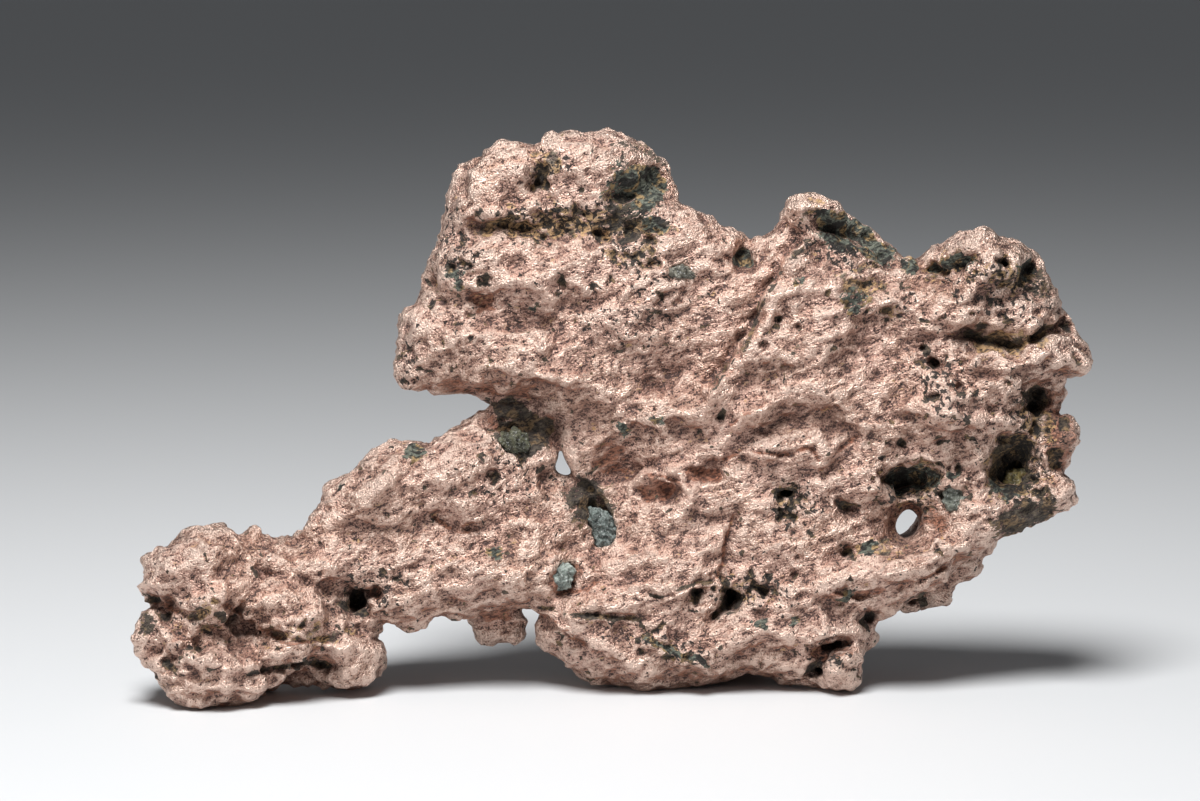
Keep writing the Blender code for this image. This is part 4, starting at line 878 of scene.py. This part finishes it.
def copper_material(settings):
    """Native copper: a finely rough metal, rubbed pale where it stands out and brown where it sinks."""
    graph = Graph("copper")
    coarse = graph.grain(5.0, detail=4.0, twist=0.4)
    patch = graph.grain(1.3, twist=0.3)
    dust = graph.grain(0.17, detail=2.0)
    folds = graph.streaks(1.1, detail=5.0, twist=0.5)
    grit = graph.streaks(0.30, twist=0.3)
    large, small = graph.dents(1.5), graph.dents(0.6)
    hollow, sunk, covered, crowd = (graph.attribute(name) for name in ("hollow", "sunk", "buried", "crowd"))
    dark, green, ochre, rust = (graph.attribute(kind) for kind in KINDS)
    pepper = (graph.grain(0.5, detail=2.0, twist=0.6) + crowd * 0.17).between(0.69, 0.73)

    # The metal itself, from the brown of its hollows to the pale of its ridges, with dark specks.
    tone = folds * 0.22 + grit * 0.42 + dust * 0.36
    worn = tone * 1.2 - (hollow - 0.5) * 0.15 - (sunk - 0.5) * 0.10 - 0.11
    copper = graph.blend(coarse.between(0.35, 0.68), tuple(settings.copper), tuple(settings.warm))
    colour = graph.blend(worn.between(0.37, 0.49), tuple(settings.brown), copper)
    colour = graph.blend(worn.between(0.49, 0.62), colour, tuple(settings.pale))
    specks = 1.0 - (grit * 0.55 + dust * 0.45 - (hollow - 0.5) * 0.12).between(0.39, 0.43)
    colour = graph.blend(specks * 0.85, colour, SPECK_COLOUR)

    # The crusts over it, each with an edge that the folds and the grit make ragged.
    ragged = (folds - 0.5) * 1.1 + (grit - 0.5) * 1.3
    # Rust, together with the painted shade of the undersides.
    rust_and_shade_share = (rust + ragged * 0.8 + (sunk - 0.5) * 0.3).between(0.45, 0.75)
    colour = graph.blend(rust_and_shade_share * 0.8, colour, graph.mottled(grit, RUST_AND_SHADE))
    ochred = (ochre + ragged + (hollow - 0.5) * 0.5).between(0.40, 0.62)
    colour = graph.blend(ochred * 0.85, colour, earthy(graph, grit, patch))
    greened = (green + ragged * 0.9).between(0.42, 0.52)
    colour = graph.blend(greened, colour, rocky(graph, grit, patch))
    blackened = (dark + ragged * 0.9).between(0.5, 0.62)
    colour = graph.blend(blackened * 0.95, colour, blackish(graph, grit, patch))
    colour = graph.blend(pepper * 0.95, colour, PEPPER_COLOUR)
    # Painted shade: the skin darkens where the copper itself hides the sky from it.
    shade = covered.between(0.48, 0.92) * 0.7
    colour = graph.blend(shade, colour, PAINTED_SHADE_COLOUR)

    crust = 1.0 - (1.0 - ochred) * (1.0 - greened) * (1.0 - blackened) * (1.0 - pepper)
    metal = (1.0 - crust) * (1.0 - shade) * (1.0 - rust_and_shade_share * 0.4) * (1.0 - specks * 0.6)
    rough = (settings.roughness + (dust - 0.5) * 0.3) * metal + (1.0 - metal) * CRUST_ROUGHNESS
    height = folds * 0.46 + large * 0.28 + small * 0.10 + grit * 0.13 + dust * 0.28 - pepper * 0.3
    normal = graph.bump(height, 1.0, settings.bump)
    return graph.surface(Base_Color=colour, Metallic=metal, Roughness=rough, Normal=normal)


# The dark between the rocks' grains, and the strength and height of their bumps.
ROCK_GAP_COLOUR = (0.02, 0.018, 0.014)
ROCK_BUMP, ROCK_BUMP_HEIGHT = 0.6, 0.12


def rock_material(name, dark, light, roughness):
    """Altered host rock: dull and mottled, with a fine crystalline glint."""
    graph = Graph(name)
    mottle = graph.grain(0.7, detail=5.0, twist=0.5)
    fine = graph.grain(0.16, detail=4.0)
    glint = tuple(0.5 + 0.5 * c for c in light)
    colour = graph.blend(mottle.between(0.35, 0.65), dark, light)
    colour = graph.blend(fine.between(0.55, 0.7) * 0.6, colour, glint)
    colour = graph.blend((1.0 - fine.between(0.3, 0.42)) * 0.8, colour, ROCK_GAP_COLOUR)
    normal = graph.bump(mottle + fine, ROCK_BUMP, ROCK_BUMP_HEIGHT)
    return graph.surface(Base_Color=colour, Roughness=roughness, Normal=normal)


class CopperSettings(bpy.types.PropertyGroup):
    """What the copper's look is driven by."""

    voxel: FloatProperty(name="Voxel", description="Grid that the copper is carved on, in millimetres",
                         default=0.22, min=0.15, max=1.0)
    faces: IntProperty(name="Faces", description="Most triangles in the copper's mesh", default=190000)
    dents: FloatProperty(name="Dents", description="How strongly the small dents and folds stand out",
                         default=1.0, min=0.0, max=2.0)
    rays: IntProperty(name="Rays", description="Rays cast from each vertex to find the hollows", default=12)
    shade_reach: FloatProperty(name="Reach", description="How far a wall can be and still hide the sky, "
                               "in millimetres", default=3.0)
    copper: FloatVectorProperty(name="Copper", description="Colour of the clean metal", subtype="COLOR",
                                default=(0.61, 0.405, 0.33))
    warm: FloatVectorProperty(name="Warm copper", description="Colour of the browner metal", subtype="COLOR",
                              default=(0.49, 0.315, 0.245))
    pale: FloatVectorProperty(name="Pale copper", description="Colour of the rubbed metal", subtype="COLOR",
                              default=(0.82, 0.62, 0.52))
    brown: FloatVectorProperty(name="Brown", description="Colour of the tarnish between the grains",
                               subtype="COLOR", default=(0.30, 0.18, 0.145))
    bump: FloatProperty(name="Bump", description="Height of the grain of the metal, in millimetres",
                        default=1.0, min=0.0, max=2.0)
    roughness: FloatProperty(name="Roughness", description="Roughness of the clean metal", default=0.44,
                             min=0.0, max=1.0)


class RockSettings(bpy.types.PropertyGroup):
    """What the look of the rock remnants is driven by."""

    voxel: FloatProperty(name="Voxel", description="Grid that the rocks are carved on, in millimetres",
                         default=0.07, min=0.04, max=0.5)
    relief: FloatProperty(name="Relief", description="Height of the rocks' roughness, in millimetres",
                          default=0.16, min=0.0, max=0.4)
    roughness: FloatProperty(name="Roughness", description="Roughness of the rock", default=0.72,
                             min=0.0, max=1.0)


class StageSettings(bpy.types.PropertyGroup):
    """The floor, the lights and the camera."""

    floor: FloatVectorProperty(name="Floor", description="Colour of the floor", subtype="COLOR",
                               default=(0.62, 0.63, 0.64))
    key: FloatProperty(name="Key light", description="Power of the key light, in watts", default=2.75)
    fill: FloatProperty(name="Fill light", description="Power of the fill light, in watts", default=0.18)
    sky: FloatProperty(name="Sky", description="Strength of the even light", default=0.11)
    elevation: FloatProperty(name="Elevation", description="The camera's height over the horizon",
                             subtype="ANGLE", default=math.radians(8.0))
    distance: FloatProperty(name="Distance", description="From the camera to the nugget", unit="LENGTH",
                            default=0.335)
    lens: FloatProperty(name="Lens", description="Focal length, in millimetres", default=100.0)


# The even skin that the copper is carved from: its grid in millimetres and its rounds of smoothing.
EVEN_VOXEL, EVEN_ROUNDS = 0.3, 4


class NUGGET_OT_build_copper(bpy.types.Operator):
    """Carve the copper and give it its material"""

    bl_idname = "nugget.build_copper"
    bl_label = "Build Copper"

    def execute(self, context):
        settings = context.scene.nugget_copper
        voxel = settings.voxel
        obj = copy_of(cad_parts["copper_nugget"], "copper_nugget_look")
        obj = softened(remeshed(obj, EVEN_VOXEL), EVEN_ROUNDS)
        obj = remeshed(obj, voxel)
        carve(obj, settings)
        obj = thinned(remeshed(obj, voxel), settings.faces)
        mark(obj, settings)
        obj.data.shade_smooth()
        obj.data.materials.append(copper_material(settings))
        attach(obj, "root")
        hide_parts("copper_nugget")
        return {"FINISHED"}


# The rocks' skin: its flakes, the grain of its roughness, and how far that stands outside the solid,
# as a share of the relief.
ROCK_FLAKES = Layer(0.9, 0.45, 5)
ROCK_GRAIN_SIZE, ROCK_GRAIN_SEED = 0.4, 6
ROCK_SWELL = 0.4

# Each remnant's dark and light colour.
ROCK_COLOURS = {
    "groove_rock": ((0.038, 0.047, 0.043), (0.16, 0.19, 0.175)),
    # The hollow rock's colours are darkened with the painted shade of the hollow that it lies in.
    "hollow_rock": ((0.028, 0.028, 0.017), (0.090, 0.090, 0.052)),
    "arm_crystal": ((0.08, 0.095, 0.085), (0.29, 0.33, 0.295)),
    "lobe_pebble": ((0.060, 0.058, 0.045), (0.17, 0.16, 0.125)),
    "cave_crystal": ((0.065, 0.072, 0.058), (0.22, 0.23, 0.19)),
    "rim_crystal": ((0.07, 0.058, 0.022), (0.28, 0.22, 0.08)),
}


class NUGGET_OT_build_rocks(bpy.types.Operator):
    """Roughen the remnants of host rock and give them their materials"""

    bl_idname = "nugget.build_rocks"
    bl_label = "Build Rock Remnants"

    def execute(self, context):
        settings = context.scene.nugget_rocks
        for name, (dark, light) in ROCK_COLOURS.items():
            obj = copy_of(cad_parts[name], f"{name}_look")
            obj = remeshed(obj, settings.voxel)
            points, normals = points_of(obj.data), normals_of(obj.data)
            rough = ROCK_SWELL + lumps(points, ROCK_GRAIN_SIZE, ROCK_GRAIN_SEED, octaves=2)
            skin = facets(points, *ROCK_FLAKES) + settings.relief * rough
            set_points(obj.data, points + normals * skin[:, None])
            obj.data.shade_smooth()
            obj.data.materials.append(rock_material(name, dark, light, settings.roughness))
            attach(obj, "root")
            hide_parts(name)
        return {"FINISHED"}


# The stage, in metres: how far the floor reaches, where the lamps stand from the nugget's middle and
# how wide they are, the tint of the sky, what the camera looks at, and how near it sees.
FLOOR_REACH = 12.0
FLOOR_ROUGHNESS = 0.6
KEY_PLACE, KEY_SIZE = (-0.05, -0.17, 0.35), 0.18
FILL_PLACE, FILL_SIZE = (-0.35, -0.30, 0.12), 0.30
SKY_COLOUR = (0.90, 0.93, 0.97, 1.0)
CAMERA_AIM = (-0.0015, 0.0, 0.0296)
CAMERA_NEAR = 0.01


def build_floor(scene, colour):
    """A wide level floor."""
    mesh = bpy.data.meshes.new("floor")
    grid = bmesh.new()
    bmesh.ops.create_grid(grid, x_segments=1, y_segments=1, size=FLOOR_REACH)
    grid.to_mesh(mesh)
    grid.free()
    mesh.materials.append(Graph("floor").surface(Base_Color=(*colour, 1.0), Roughness=FLOOR_ROUGHNESS))
    floor = bpy.data.objects.new("floor", mesh)
    scene.collection.objects.link(floor)


def build_lamp(scene, name, place, size, power):
    """A round lamp that stands off the middle of the nugget and shines on it."""
    middle = 0.5 * (SOLID_BOUNDS[0] + SOLID_BOUNDS[1])
    light = bpy.data.lights.new(name, "AREA")
    light.shape = "DISK"
    light.size = size
    light.energy = power
    obj = bpy.data.objects.new(name, light)
    obj.location = middle + Vector(place)
    obj.rotation_euler = (middle - obj.location).to_track_quat("-Z", "Y").to_euler()
    scene.collection.objects.link(obj)


def build_sky(scene, strength):
    """An even light from all round."""
    world = bpy.data.worlds.new("sky")
    world.use_nodes = True
    background = world.node_tree.nodes["Background"]
    background.inputs["Color"].default_value = SKY_COLOUR
    background.inputs["Strength"].default_value = strength
    scene.world = world
    scene.view_settings.view_transform = "Standard"


def build_camera(scene, settings):
    """A camera in front of the nugget that looks a little down on it."""
    camera = bpy.data.objects.new("camera", bpy.data.cameras.new("camera"))
    camera.data.lens = settings.lens
    camera.data.clip_start = CAMERA_NEAR
    toward = Vector((0.0, math.cos(settings.elevation), -math.sin(settings.elevation)))
    camera.location = Vector(CAMERA_AIM) - settings.distance * toward
    camera.rotation_euler = toward.to_track_quat("-Z", "Y").to_euler()
    scene.collection.objects.link(camera)
    scene.camera = camera


class NUGGET_OT_build_stage(bpy.types.Operator):
    """Set the floor, the lights and the camera"""

    bl_idname = "nugget.build_stage"
    bl_label = "Build Stage"

    def execute(self, context):
        scene = context.scene
        settings = scene.nugget_stage
        build_floor(scene, settings.floor)
        build_lamp(scene, "key_light", KEY_PLACE, KEY_SIZE, settings.key)
        build_lamp(scene, "fill_light", FILL_PLACE, FILL_SIZE, settings.fill)
        build_sky(scene, settings.sky)
        build_camera(scene, settings)
        return {"FINISHED"}


class NUGGET_PT_panel(bpy.types.Panel):
    """Every setting of the nugget, and a button for each group of pieces"""

    bl_label = "Native Copper Nugget"
    bl_idname = "NUGGET_PT_panel"
    bl_space_type = "VIEW_3D"
    bl_region_type = "UI"
    bl_category = "Nugget"

    def draw(self, context):
        for group, operator in BUILDERS.items():
            box = self.layout.box()
            settings = getattr(context.scene, group)
            for name in settings.__annotations__:
                box.prop(settings, name)
            box.operator(operator.bl_idname)


SETTINGS = {
    "nugget_copper": CopperSettings,
    "nugget_rocks": RockSettings,
    "nugget_stage": StageSettings,
}
BUILDERS = {
    "nugget_copper": NUGGET_OT_build_copper,
    "nugget_rocks": NUGGET_OT_build_rocks,
    "nugget_stage": NUGGET_OT_build_stage,
}


def register():
    """Adds the classes, and each group of settings to the scene."""
    for cls in (*SETTINGS.values(), *BUILDERS.values(), NUGGET_PT_panel):
        bpy.utils.register_class(cls)
    for name, cls in SETTINGS.items():
        setattr(bpy.types.Scene, name, PointerProperty(type=cls))


def unregister():
    """Takes back what register adds."""
    for name in SETTINGS:
        delattr(bpy.types.Scene, name)
    for cls in reversed((*SETTINGS.values(), *BUILDERS.values(), NUGGET_PT_panel)):
        bpy.utils.unregister_class(cls)


def main():
    """Builds every piece and the stage."""
    noise.seed_set(NOISE_SEED)
    register()
    bpy.ops.nugget.build_copper()
    bpy.ops.nugget.build_rocks()
    bpy.ops.nugget.build_stage()


if __name__ == "__main__":
    main()
